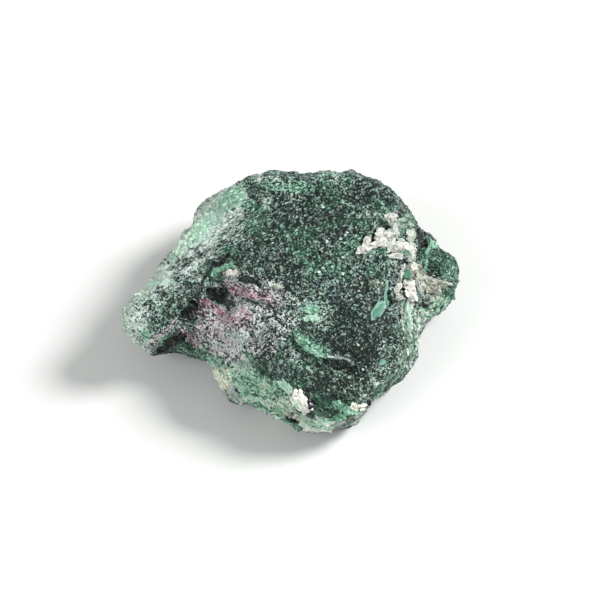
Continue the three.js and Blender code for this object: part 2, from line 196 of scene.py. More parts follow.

# Lighter and darker places, as shares of the range from dark to pale that add up where they meet. Some are
# the rock's own lighter and darker parts, and some are painted light and shade: flanks that face away from
# the lamp made lighter, and faces made darker where shade falls
TONES_AND_PAINTED_LIGHT = [
    ([(-12.4, -4.4), (-9.4, -6.0)], 1.9, 0.31),
    ([(-9.2, -4.4), (-8.2, -4.6)], 0.6, 0.12),
    ([(-5.6, -5.2), (-4.6, -5.4)], 0.5, 0.1),
    ([(-5.6, -0.8), (-3.6, -0.8)], 0.7, -0.14),
    ([(-11.5, -8.0), (-6.5, -9.2)], 1.3, 0.31),
    ([(-10.8, -2.0), (-8.4, -0.8), (-6.0, -0.8)], 1.8, 0.32),
    ([(-11.6, -6.0), (-10.0, -6.4)], 0.8, 0.08),
    ([(-7.6, -1.6), (-7.4, -4.4), (-7.2, -7.4)], 1.3, 0.16),
    ([(-7.0, -3.7), (-6.6, -3.8)], 0.4, -0.06),
    ([(-5.0, -2.4), (-4.4, -5.4)], 1.0, 0.12),
    ([(-4.4, -4.4), (-2.4, -5.6)], 1.1, 0.14),
    ([(-0.9, -2.6), (-0.6, -3.6)], 0.7, 0.25),
    ([(-0.3, -2.5), (0.6, -2.8)], 0.5, 0.16),
    ([(-8.4, -9.2), (-6.4, -10.0)], 0.8, 0.12),
    ([(-11.4, 2.5), (-10.0, 2.6)], 0.7, 0.16),
    ([(-9.5, 3.2), (0.0, 0.4)], 0.9, 0.18),
    ([(-5.2, 2.8), (-3.4, 2.0)], 0.8, 0.08),
    ([(-2.2, 2.4), (-1.0, 1.8)], 0.6, 0.2),
    ([(-8.0, 2.6), (-7.2, 3.0)], 0.6, 0.15),
    ([(-5.5, 0.9), (-2.6, 0.8), (0.4, -1.4)], 0.8, -0.06),
    ([(16.8, 5.5), (16.7, 4.6)], 0.5, 0.14),
    ([(19.8, 0.6), (20.2, 0.2)], 0.5, 0.16),
    ([(-19.4, 4.6), (-15.8, 5.4)], 1.2, 0.17),
    ([(-19.7, 4.1), (-18.8, 4.0)], 0.6, 0.12),
    ([(-16.6, 6.4), (-15.8, 6.4)], 0.5, -0.08),
    ([(-16.6, 3.2), (-14.4, 4.2)], 0.8, 0.16),
    ([(-15.0, 5.4), (-11.8, 7.4), (-9.0, 9.8), (-7.0, 12.2)], 1.3, 0.17),
    ([(-12.8, 10.6), (-10.4, 12.6), (-8.6, 14.4)], 1.7, 0.46),
    ([(-18.2, 7.2), (-16.2, 9.0), (-14.4, 11.2), (-13.4, 13.4), (-10.6, 15.8), (-8.4, 16.6)], 1.3, 0.6),
    ([(-16.6, 9.0), (-15.4, 9.8)], 0.6, 0.4),
    ([(-12.6, 3.4), (-11.8, 2.9)], 0.35, -0.22),
    ([(-13.8, 6.1), (-12.6, 6.3)], 0.7, 0.16),
    ([(-13.9, 2.1), (-13.1, 2.2)], 0.5, 0.12),
    ([(-10.2, 12.2), (-9.4, 12.8)], 0.5, -0.1),
    ([(-10.8, 6.8), (-9.8, 7.6)], 0.6, -0.18),
    ([(-15.0, 7.8), (-14.0, 8.6)], 0.8, 0.28),
    ([(-8.2, 9.4), (-6.8, 10.2)], 0.8, 0.1),
    ([(-24.6, -0.2), (-23.6, -3.0)], 1.8, 0.4),
    ([(-24.0, 1.2), (-21.8, 1.6)], 1.1, 0.42),
    ([(-21.8, 0.2), (-20.4, -0.2)], 0.8, 0.14),
    ([(-20.0, -2.6), (-19.2, -2.8)], 0.6, 0.12),
    ([(-22.0, -1.4), (-20.6, -1.2)], 0.8, 0.14),
    ([(-22.4, 2.4), (-20.0, 4.8)], 0.7, 0.4),
    ([(-22.2, -4.7), (-21.4, -5.0)], 0.7, 0.34),
    ([(-20.2, -4.0), (-19.4, -4.0)], 0.5, -0.08),
    ([(-22.5, -2.6), (-22.2, -3.8)], 0.5, -0.1),
    ([(-20.4, 4.0), (-17.8, 5.6)], 0.8, 0.1),
    ([(-21.0, -5.9), (-20.2, -6.6)], 0.7, 0.3),
    ([(-13.8, 3.2), (-13.2, 3.5)], 0.4, 0.2),
    ([(-20.9, 2.7), (-18.6, 2.9)], 0.6, 0.4),
    ([(-25.9, -1.6), (-25.1, -5.1), (-22.8, -7.8)], 0.9, 0.6),
    ([(-21.5, -6.9), (-18.2, -3.9)], 0.5, 0.22),
    ([(-16.2, -6.8), (-13.8, -7.0)], 0.7, 0.2),
    ([(17.8, -2.0), (18.0, -5.5), (18.2, -10.2)], 0.9, 0.28),
    ([(19.6, -2.4), (19.7, -7.4)], 0.6, 0.22),
    ([(14.8, -11.6), (12.8, -14.4)], 1.2, 0.16),
    ([(15.4, -9.0), (17.2, -9.4)], 0.9, 0.12),
    ([(10.8, -14.8), (12.2, -15.1)], 0.5, 0.22),
    ([(15.8, -10.2), (16.3, -10.8)], 0.5, -0.12),
    ([(13.5, -9.2), (14.3, -9.1)], 0.5, 0.2),
    ([(9.5, 7.0), (11.0, 5.0)], 1.5, 0.06),
    ([(15.4, 5.6), (15.6, 3.4)], 0.8, 0.12),
    ([(15.8, 2.3), (16.1, 1.9)], 0.4, -0.1),
    ([(14.1, 1.9), (14.1, 1.0)], 0.35, 0.2),
    ([(20.4, -0.2), (21.6, -0.4)], 0.6, 0.16),
    ([(16.4, 0.0), (17.2, -1.6)], 0.7, 0.14),
    ([(20.8, -2.6), (23.8, 0.2)], 0.8, 0.24),
    ([(0.5, -1.6), (4.6, -2.0)], 1.2, 0.17),
    ([(4.4, -2.6), (5.4, -3.0)], 0.6, 0.12),
    ([(6.0, -2.8), (6.7, -3.0)], 0.5, 0.1),
    ([(-1.6, -0.9), (-0.8, -0.9)], 0.6, -0.1),
    ([(2.6, -3.4), (3.6, -3.6)], 0.5, -0.08),
    ([(5.4, 0.8), (6.2, -1.2)], 0.7, 0.14),
    ([(5.0, -3.6), (4.4, -5.4)], 0.9, 0.1),
    ([(11.2, -4.4), (11.0, -5.4)], 0.6, 0.16),
    ([(0.4, -7.8), (1.2, -8.2), (3.2, -9.4)], 1.1, 0.2),
    ([(-1.2, -9.8), (0.0, -10.4)], 0.7, 0.12),
    ([(6.2, 1.2), (6.6, 0.6)], 0.5, 0.12),
    ([(4.4, -9.4), (7.0, -10.6)], 1.0, 0.1),
    ([(0.0, 17.2), (2.6, 17.0)], 0.6, 0.14),
    ([(-6.4, 15.4), (-4.2, 16.4)], 1.0, 0.1),
    ([(-4.0, 15.3), (-3.2, 15.6)], 0.5, 0.14),
    ([(-10.2, 15.8), (-9.0, 16.2)], 0.5, 0.1),
    ([(-11.2, 10.2), (-10.6, 10.4)], 0.5, -0.08),
    ([(-4.6, 18.8), (-1.6, 18.4), (0.2, 16.6)], 1.0, 0.3),
    ([(-6.2, 17.2), (-4.8, 17.2)], 0.6, -0.2),
    ([(-6.0, 14.8), (-4.0, 15.0)], 0.7, 0.08),
    ([(-11.0, 15.8), (-10.0, 16.4)], 0.7, 0.12),
    ([(5.0, 19.4), (7.0, 19.2)], 0.8, 0.26),
    ([(6.8, 18.4), (9.0, 17.8)], 0.9, 0.06),
    ([(-4.4, 8.4), (-3.2, 8.2)], 0.6, -0.06),
    ([(-2.0, 7.8), (-1.2, 7.4)], 0.5, 0.14),
    ([(-6.8, 4.2), (-5.6, 3.8)], 0.7, 0.08),
    ([(-12.4, -10.6), (-8.0, -12.5), (-1.0, -16.0)], 2.0, 0.42),
    ([(-9.4, -12.6), (-8.0, -13.4)], 0.8, 0.12),
    ([(12.8, 12.8), (14.3, 13.4)], 0.9, 0.2),
    ([(10.0, 17.0), (12.0, 15.8), (14.0, 15.0)], 1.6, -0.1),
    ([(3.6, 16.6), (5.6, 16.8)], 0.8, -0.12),
    ([(-6.8, 12.6), (-5.2, 12.0)], 0.7, -0.05),
    ([(0.0, 15.4), (6.0, 14.2)], 1.3, -0.08),
    ([(7.2, 15.2), (7.4, 13.6)], 0.7, -0.12),
    ([(8.4, 12.4), (9.3, 10.8)], 0.8, -0.12),
    ([(-3.0, 10.2), (6.0, 9.6)], 2.0, -0.06),
    ([(-0.6, 6.8), (1.4, 6.0)], 0.8, -0.12),
    ([(5.4, 7.2), (6.6, 5.2)], 0.9, -0.08),
    ([(-2.4, 4.8), (-1.4, 3.8)], 0.7, -0.05),
    ([(6.6, 1.0), (7.6, -0.6)], 0.7, -0.1),
    ([(8.0, -2.6), (9.5, -4.6), (11.0, -7.6)], 2.0, -0.16),
    ([(5.6, -5.8), (8.0, -7.2)], 1.0, -0.15),
    ([(9.6, -9.6), (11.6, -10.4)], 1.2, -0.12),
    ([(12.2, -8.6), (13.8, -9.0)], 1.0, -0.12),
    ([(12.4, -4.4), (15.6, -2.8)], 1.3, -0.1),
    ([(4.6, -12.2), (6.4, -12.6)], 1.1, -0.14),
    ([(4.4, -13.6), (7.0, -15.0)], 0.9, -0.16),
    ([(6.0, -11.6), (11.0, -12.6)], 1.2, -0.07),
    ([(-18.0, 5.8), (-16.2, 6.0)], 0.6, -0.16),
    ([(-17.8, -4.6), (-16.8, -4.8)], 0.6, -0.1),
    ([(-15.8, -5.4), (-14.8, -5.8)], 0.9, -0.24),
    ([(-18.6, -1.0), (-16.8, -2.4)], 0.9, -0.12),
    ([(-15.2, 2.4), (-15.0, 0.8)], 0.6, -0.1),
    ([(21.5, 7.6), (22.6, 6.4)], 1.4, -0.05),
    ([(24.0, 5.0), (24.6, 4.2)], 0.6, 0.16),
    ([(22.8, 6.4), (23.4, 6.2)], 0.5, 0.12),
    ([(0.0, 4.0), (3.0, 3.2)], 1.1, -0.06),
    ([(-16.0, -7.2), (-19.5, -7.8)], 0.6, -0.1),
    ([(-13.4, -9.0), (-9.8, -9.4)], 0.7, -0.16),
]

# Dull green beds
MOSS_BEDS = [
    ([(6.0, 15.0), (14.0, 8.0)], 3.5, 0.35),
    ([(-1.0, 11.0), (1.5, 7.5), (3.0, 4.6)], 1.0, 0.7),
    ([(3.0, 5.5), (9.0, 4.0)], 1.2, 0.6),
    ([(12.5, 5.5), (14.5, 2.0)], 0.9, 0.6),
    ([(21.5, 7.8), (24.6, 5.0)], 1.8, 1.0),
    ([(22.4, 1.4), (25.0, 2.4)], 0.6, 0.9),
    ([(-3.0, 17.8), (3.0, 17.2)], 1.0, 0.7),
    ([(-12.0, 13.0), (-9.0, 16.0)], 1.6, 0.5),
    ([(-22.0, -1.0), (-19.0, -3.2)], 1.2, 0.3),
    ([(-16.0, -7.4), (-11.0, -9.4)], 0.9, 0.8),
    ([(-8.0, -12.0), (0.0, -14.5)], 2.2, 0.9),
    ([(0.5, -5.6), (4.5, -8.0)], 1.4, 0.8),
    ([(4.5, -15.6), (9.5, -17.0)], 1.2, 1.0),
    ([(16.0, 11.2), (18.5, 12.5)], 0.9, 0.9),
    ([(18.0, -1.0), (18.6, -8.0)], 0.8, 0.7),
    ([(2.0, -12.5), (-1.0, -10.0)], 1.3, 0.4),
    ([(-5.5, 14.5), (-3.0, 12.0)], 0.9, 0.5),
    ([(-12.6, 4.2), (-10.4, 3.2)], 0.6, 0.8),
    ([(7.6, 7.2), (11.6, 9.2)], 1.2, 0.9),
    ([(5.0, 18.4), (8.4, 18.2)], 0.9, 0.5),
    ([(-22.0, -5.2), (-20.8, -6.0)], 0.6, 0.7),
    ([(-4.8, -5.8), (-3.4, -6.4)], 0.7, 0.5),
    ([(18.8, 10.4), (19.2, 9.6)], 0.4, 0.7),
    ([(-6.4, 11.6), (-4.4, 10.4)], 1.1, 0.8),
    ([(13.8, 14.8), (15.2, 14.0)], 1.0, 0.9),
    ([(-1.2, -9.4), (0.2, -10.0)], 0.8, 0.5),
    ([(-17.4, -5.2), (-16.4, -6.0)], 0.6, 0.9),
    ([(19.6, 8.2), (20.0, 7.2)], 0.5, 0.8),
    ([(-20.6, -6.0), (-19.4, -6.4)], 0.5, 0.6),
    ([(-4.2, -6.8), (-3.2, -7.2)], 0.6, 0.5),
    ([(-10.0, 8.0), (-8.0, 7.4)], 0.8, 0.8),
    ([(-6.4, -9.0), (-2.0, -8.6)], 1.2, 1.0),
    ([(-8.6, 15.8), (-6.8, 14.8)], 0.9, 0.9),
    ([(-19.4, -6.0), (-17.4, -6.8)], 0.8, 0.9),
    ([(1.4, 10.6), (3.4, 9.8)], 1.2, 0.7),
    ([(3.4, 7.2), (5.0, 5.8)], 1.0, 0.4),
    ([(5.2, 0.8), (5.6, -0.8)], 0.7, 0.7),
]

# Hollows and clefts: carved deeper, and with painted shade darkening their grains
SHADED_CLEFTS = [
    ([(-12.2, 1.2), (-10.9, 0.5), (-9.5, -0.5)], 0.75, 1.0),
    ([(-10.6, 1.5), (-9.8, 0.8)], 0.5, 1.0),
    ([(-14.7, -0.8), (-15.8, -2.0)], 0.85, 1.0),
    ([(-14.6, -2.4), (-15.2, -2.9)], 0.4, 0.6),
    ([(-9.4, 7.0), (-11.7, 5.4), (-13.6, 2.8), (-14.3, 0.6)], 0.4, 0.7),
    ([(-9.9, 2.0), (-9.4, 1.1)], 0.4, 0.8),
    ([(-16.8, 3.4), (-13.4, 4.9), (-10.6, 7.0)], 0.1, 0.5),
    ([(-7.4, 3.5), (-4.6, 2.7)], 0.45, 0.9),
    ([(-6.4, 0.1), (-5.2, -0.3)], 0.35, 0.9),
    ([(-20.3, -7.7), (-18.5, -6.5), (-16.6, -5.6)], 0.6, 1.0),
    ([(14.2, 12.1), (14.9, 11.8), (15.4, 11.2)], 0.4, 1.0),
    ([(11.3, 9.6), (11.0, 9.0)], 0.3, 1.0),
    ([(13.0, 10.5), (12.7, 9.9), (12.85, 9.1)], 0.32, 1.0),
    ([(17.4, 3.4), (17.3, 1.6)], 0.22, 1.0),
    ([(17.7, 6.2), (18.6, 5.9)], 0.22, 1.0),
    ([(19.5, 8.2), (19.5, 6.4)], 0.15, 0.8),
    ([(19.45, -0.2), (19.6, -1.4)], 0.14, 0.9),
    ([(20.0, -0.2), (20.6, -1.0)], 0.3, 0.8),
    ([(15.7, 7.4), (16.8, 7.35)], 0.07, 1.0),
    ([(19.9, 10.3), (20.6, 8.6)], 0.75, 0.8),
    ([(15.1, 1.0), (15.4, -0.4)], 0.35, 0.8),
    ([(-8.1, -13.9), (-7.8, -14.3)], 0.2, 1.0),
    ([(6.6, -19.9), (8.8, -19.5)], 0.2, 0.5),
]

# Patches of bright green fuchsite
FUCHSITE_PATCHES = [
    ([(-18.0, 7.0), (-16.2, 8.9), (-14.3, 10.4)], 0.9, 0.6),
    ([(-14.6, 9.8), (-12.8, 12.0)], 0.9, 0.9),
    ([(-11.0, 14.2), (-9.0, 16.2), (-7.2, 17.4)], 1.0, 0.65),
    ([(-22.0, 2.5), (-20.6, 2.9), (-18.6, 2.9)], 0.5, 0.9),
    ([(-25.9, -1.6), (-25.1, -5.1), (-22.8, -7.8)], 0.6, 0.7),
    ([(-16.4, -7.6), (-13.0, -7.8)], 0.7, 0.4),
    ([(-12.2, 4.0), (-10.5, 5.1), (-8.8, 5.5)], 0.5, 0.9),
    ([(-14.3, 2.8), (-12.9, 3.4)], 0.4, 0.7),
    ([(-5.4, 18.8), (-4.3, 17.7)], 0.5, 0.6),
    ([(0.0, 17.1), (2.6, 17.1)], 0.5, 0.45),
    ([(-4.3, 19.7), (-1.5, 19.8)], 0.5, 0.6),
    ([(2.9, 19.5), (6.6, 19.4)], 0.4, 0.7),
    ([(-4.3, 12.8), (-2.0, 12.2)], 0.5, 0.5),
    ([(5.5, 4.3), (7.4, 4.3)], 0.4, 0.6),
    ([(7.4, 7.5), (9.1, 7.5)], 0.45, 0.6),
    ([(9.5, 13.8), (10.6, 12.8)], 0.4, 0.5),
    ([(2.0, 7.5), (2.8, 5.8)], 0.5, 0.8),
    ([(2.2, -1.2), (4.4, -1.2), (4.4, -2.8), (2.2, -2.8)], 0.6, 0.75),
    ([(1.2, -5.0), (2.6, -6.8), (4.4, -7.8), (5.8, -8.3)], 0.8, 0.72),
    ([(14.8, 0.6), (14.9, 2.2), (14.8, 3.3)], 0.2, 0.7),
    ([(-8.6, -10.6), (-6.0, -11.6), (-2.9, -13.4)], 1.2, 0.85),
    ([(-1.1, -12.4), (0.2, -13.3)], 0.5, 0.8),
    ([(-3.0, -10.8), (0.5, -12.2)], 0.8, 0.35),
    ([(6.4, -16.0), (9.0, -16.8)], 0.8, 0.7),
    ([(18.1, 4.4), (18.2, 3.3)], 0.45, 1.0),
    ([(18.0, -1.5), (18.3, -4.5), (18.6, -7.8)], 0.5, 0.5),
    ([(21.2, 8.2), (20.9, 4.9)], 0.35, 1.0),
    ([(21.5, 8.9), (22.5, 8.4)], 0.5, 0.9),
    ([(25.5, 6.0), (25.7, 1.7), (24.0, -1.7)], 0.4, 0.7),
    ([(17.6, 11.6), (17.8, 10.6)], 0.35, 0.7),
    ([(17.2, 7.6), (18.4, 7.0)], 0.4, 0.8),
    ([(16.2, 12.9), (17.8, 13.2), (18.8, 11.4)], 0.4, 0.6),
    ([(12.2, 7.8), (13.4, 7.9), (14.6, 7.6)], 0.35, 0.9),
]

# Thin pale green lines
SCRATCHES = [
    ([(-0.8, 11.2), (0.9, 8.0), (1.6, 6.6)], 0.13, 0.8),
    ([(3.8, 16.1), (5.5, 14.1)], 0.1, 0.7),
    ([(6.4, 17.4), (8.8, 14.8)], 0.1, 0.7),
    ([(11.1, 14.5), (12.0, 13.1)], 0.12, 0.8),
    ([(11.5, 18.5), (12.8, 16.8)], 0.1, 0.6),
    ([(12.6, 16.1), (14.9, 14.0)], 0.14, 0.7),
    ([(9.0, 13.4), (10.0, 13.6), (10.4, 12.8)], 0.1, 0.8),
    ([(5.5, -4.3), (6.6, -3.8)], 0.12, 0.8),
    ([(8.2, -3.5), (9.8, -4.2)], 0.12, 0.8),
    ([(10.5, -4.5), (11.1, -5.7)], 0.12, 0.8),
    ([(0.9, -10.0), (2.8, -10.3), (3.4, -11.0)], 0.1, 0.9),
    ([(3.1, -10.2), (3.7, -10.4), (4.0, -10.9), (3.7, -11.2), (3.2, -11.0)], 0.12, 1.0),
    ([(4.8, -9.2), (5.4, -9.5), (5.6, -10.4), (5.1, -10.9), (4.8, -11.1)], 0.12, 1.0),
    ([(2.6, -11.5), (2.8, -12.0), (3.4, -12.6), (3.8, -12.3)], 0.12, 1.0),
    ([(6.4, -10.4), (7.4, -10.9), (7.8, -11.6)], 0.1, 0.8),
    ([(1.6, -12.6), (2.2, -13.2), (2.0, -13.8)], 0.1, 0.8),
    ([(5.6, -13.4), (6.6, -13.8)], 0.1, 0.8),
    ([(9.6, -12.2), (11.2, -13.0), (11.4, -14.4)], 0.1, 0.6),
]

# White mica, and the buff mica after it
WHITE_BEDS = [
    ([(10.6, 7.9), (11.5, 7.9), (12.5, 8.5)], 0.42, 1.0),
    ([(11.5, 8.0), (11.8, 9.0), (12.05, 9.9)], 0.38, 1.0),
    ([(13.5, 10.6), (14.2, 10.9)], 0.42, 1.0),
    ([(13.3, 9.7), (14.9, 9.8), (16.0, 10.3)], 0.7, 1.0),
    ([(14.9, 10.5), (16.2, 10.6)], 0.42, 1.0),
    ([(13.0, 9.0), (15.8, 9.1)], 0.32, 1.0),
    ([(14.9, 13.1), (16.2, 13.2)], 0.3, 1.0),
    ([(15.2, 12.8), (15.9, 12.2), (16.1, 10.4)], 0.42, 1.0),
    ([(16.4, 12.2), (17.5, 12.5)], 0.24, 1.0),
    ([(18.6, 10.6), (18.5, 9.4)], 0.5, 1.0),
    ([(12.4, 8.55), (14.0, 8.8), (16.0, 8.75), (19.0, 8.4)], 0.34, 1.0),
    ([(15.4, 8.1), (19.0, 8.0)], 0.4, 1.0),
    ([(15.6, 7.1), (17.0, 6.9)], 0.32, 1.0),
    ([(18.7, 8.0), (18.9, 7.2), (18.5, 6.3)], 0.4, 1.0),
    ([(17.6, 5.4), (17.2, 4.3), (17.05, 3.0)], 0.14, 1.0),
    ([(16.9, 2.5), (16.4, 1.5)], 0.32, 1.0),
    ([(18.4, 2.8), (18.6, 1.6), (18.9, 0.4)], 0.55, 1.0),
    ([(18.1, -0.8), (18.3, -2.4), (18.5, -4.3)], 0.24, 0.9),
]
BUFF_BEDS = [
    ([(19.5, 4.2), (21.0, 2.9), (23.0, 2.0)], 0.9, 1.0),
    ([(21.0, 1.6), (22.6, 1.0)], 0.6, 0.8),
    ([(18.5, 5.2), (20.0, 5.2)], 0.5, 1.0),
    ([(18.9, 0.0), (18.6, -1.2)], 0.42, 1.0),
    ([(12.9, 2.7), (14.2, 2.5)], 0.8, 0.5),
    ([(-9.7, 4.2), (-8.0, 4.3)], 0.5, 1.0),
    ([(-2.4, 2.5), (-1.4, 2.0)], 0.4, 0.8),
    ([(-0.8, -17.3), (2.0, -18.2)], 0.4, 0.6),
    ([(6.6, -19.3), (9.6, -18.6), (12.2, -17.4)], 0.6, 0.8),
]

# Where the broken surface stands out from the plain solid, or falls short of it: strips as above, in mm
BULGES = [
    ([(-19.5, -8.8), (-16.0, -9.3), (-13.0, -10.4)], 1.3, -0.5),
    ([(6.4, -19.6), (10.0, -18.6)], 1.0, 0.25),
    ([(12.6, -15.6), (15.4, -13.2)], 0.8, -0.35),
    ([(9.5, 19.0), (12.8, 17.8)], 1.0, 0.35),
    ([(-26.0, -1.0), (-25.4, -4.5)], 1.0, 0.3),
    ([(-18.0, 8.0), (-16.0, 11.0)], 0.9, 0.3),
    ([(20.6, 10.0), (22.0, 9.2)], 0.7, 0.3),
    ([(22.9, 8.4), (23.6, 7.6)], 0.5, -0.35),
]

# Which way the grains lie: strips as above, with the heading in degrees in place of the strength
FABRIC = [
    ([(-21.0, 4.0), (-13.0, 7.0), (-6.0, 14.0)], 2.6, 36),
    ([(-10.5, 2.0), (-3.0, 0.6)], 1.6, -22),
    ([(-14.0, -1.0), (-8.5, -2.6), (-6.0, -3.6)], 2.4, -42),
    ([(-16.5, -6.0), (-8.0, -8.4)], 2.2, -62),
    ([(-12.0, -11.0), (2.0, -17.0)], 3.4, -44),
    ([(-24.5, -1.0), (-22.0, -6.5)], 1.6, -58),
    ([(17.8, 4.0), (18.4, -8.0)], 1.4, 84),
    ([(20.0, 3.0), (24.0, 1.0)], 1.8, -24),
    ([(20.0, -1.0), (23.0, -1.0)], 1.6, 35),
]

# There a grain is this much shorter along the others' heading than it would be, and this much finer in all
GRAIN_STRETCH = 0.5
GRAIN_SHRINK = 0.12

# The broken edge across the front, with the lower face beneath it
LEDGE = [(0.6, -5.6), (2.4, -7.1), (4.2, -8.3), (5.8, -8.6), (7.8, -8.7), (9.2, -9.1), (10.3, -10.0)]
LEDGE_DROP = 0.75
LEDGE_REACH = 3.5
LEDGE_FADE = 0.6
LEDGE_STEP = 0.35
LIP_RISE = 0.1
LIP_FADE = (0.1, 0.45)

# How far the edges of the places stray, in mm: in coarse waves and in fine ones
COARSE_STRAY = 0.55
FINE_STRAY = 0.3

# How soft the edges of the places are, in mm
TONE_EDGE = 1.3
SPECKLE_EDGE = 1.0
BROAD_EDGE = 0.9
PATCH_EDGE = 0.4
DARK_EDGE = 0.22
WHITE_EDGE = 0.2
SHARP_EDGE = 0.1

# How pale the grains are, from 0 to 1: over the whole stone, then what some places add or take
PALE_BASE = 0.30
PALE_HIDDEN = 0.2
PALE_LIP = 0.2
PALE_SCRATCH = 0.22
# Painted shade: how much darker the grains are on the face below the broken ledge
LEDGE_SHADE = 0.12

# Patterns in layers: the size in mm, the seed, and the height in mm of each, or for the clouds the paleness
CLOUDS = ((3.6, 23, 0.06), (1.6, 24, 0.09), (0.8, 26, 0.08))
CHIPS = ((2.0, 33, 0.26), (0.7, 34, 0.07))
GRIT = ((0.55, 51, 0.05), (0.3, 52, 0.05))

# Broken layers of the schist: the pitch and the depth in mm, and the seed of each
BROKEN_LAYERS = ((1.15, 0.34, 41), (0.42, 0.13, 45))

# How far the relief rises or sinks, in mm, and how high above the floor it has its full height
SWELL_HEIGHT = 0.24
TREAD_HEIGHT = 0.17
PIT_DEPTH = 0.16
LIP_HEIGHT = 0.22
MICA_RISE = 0.3
FUCHSITE_RISE = 0.14
BUFF_RISE = 0.12
RUBY_RISE = 0.12
PALE_RISE = 0.12
SHADE_DEPTH = 0.8
FOOT_HEIGHT = 1.6


class Bed(NamedTuple):
    """A bed of mica flakes: a line and half width as above, how many flakes, the range of their half length,
    how much longer than wide they are, their colours, how far they lie along the layers of the schist rather
    than on the surface (0 to 1), and how unevenly they are tilted."""

    line: list
    half_width: float
    count: int
    half_lengths: tuple
    stretch: float
    palette: tuple
    layered: float
    tilt: float


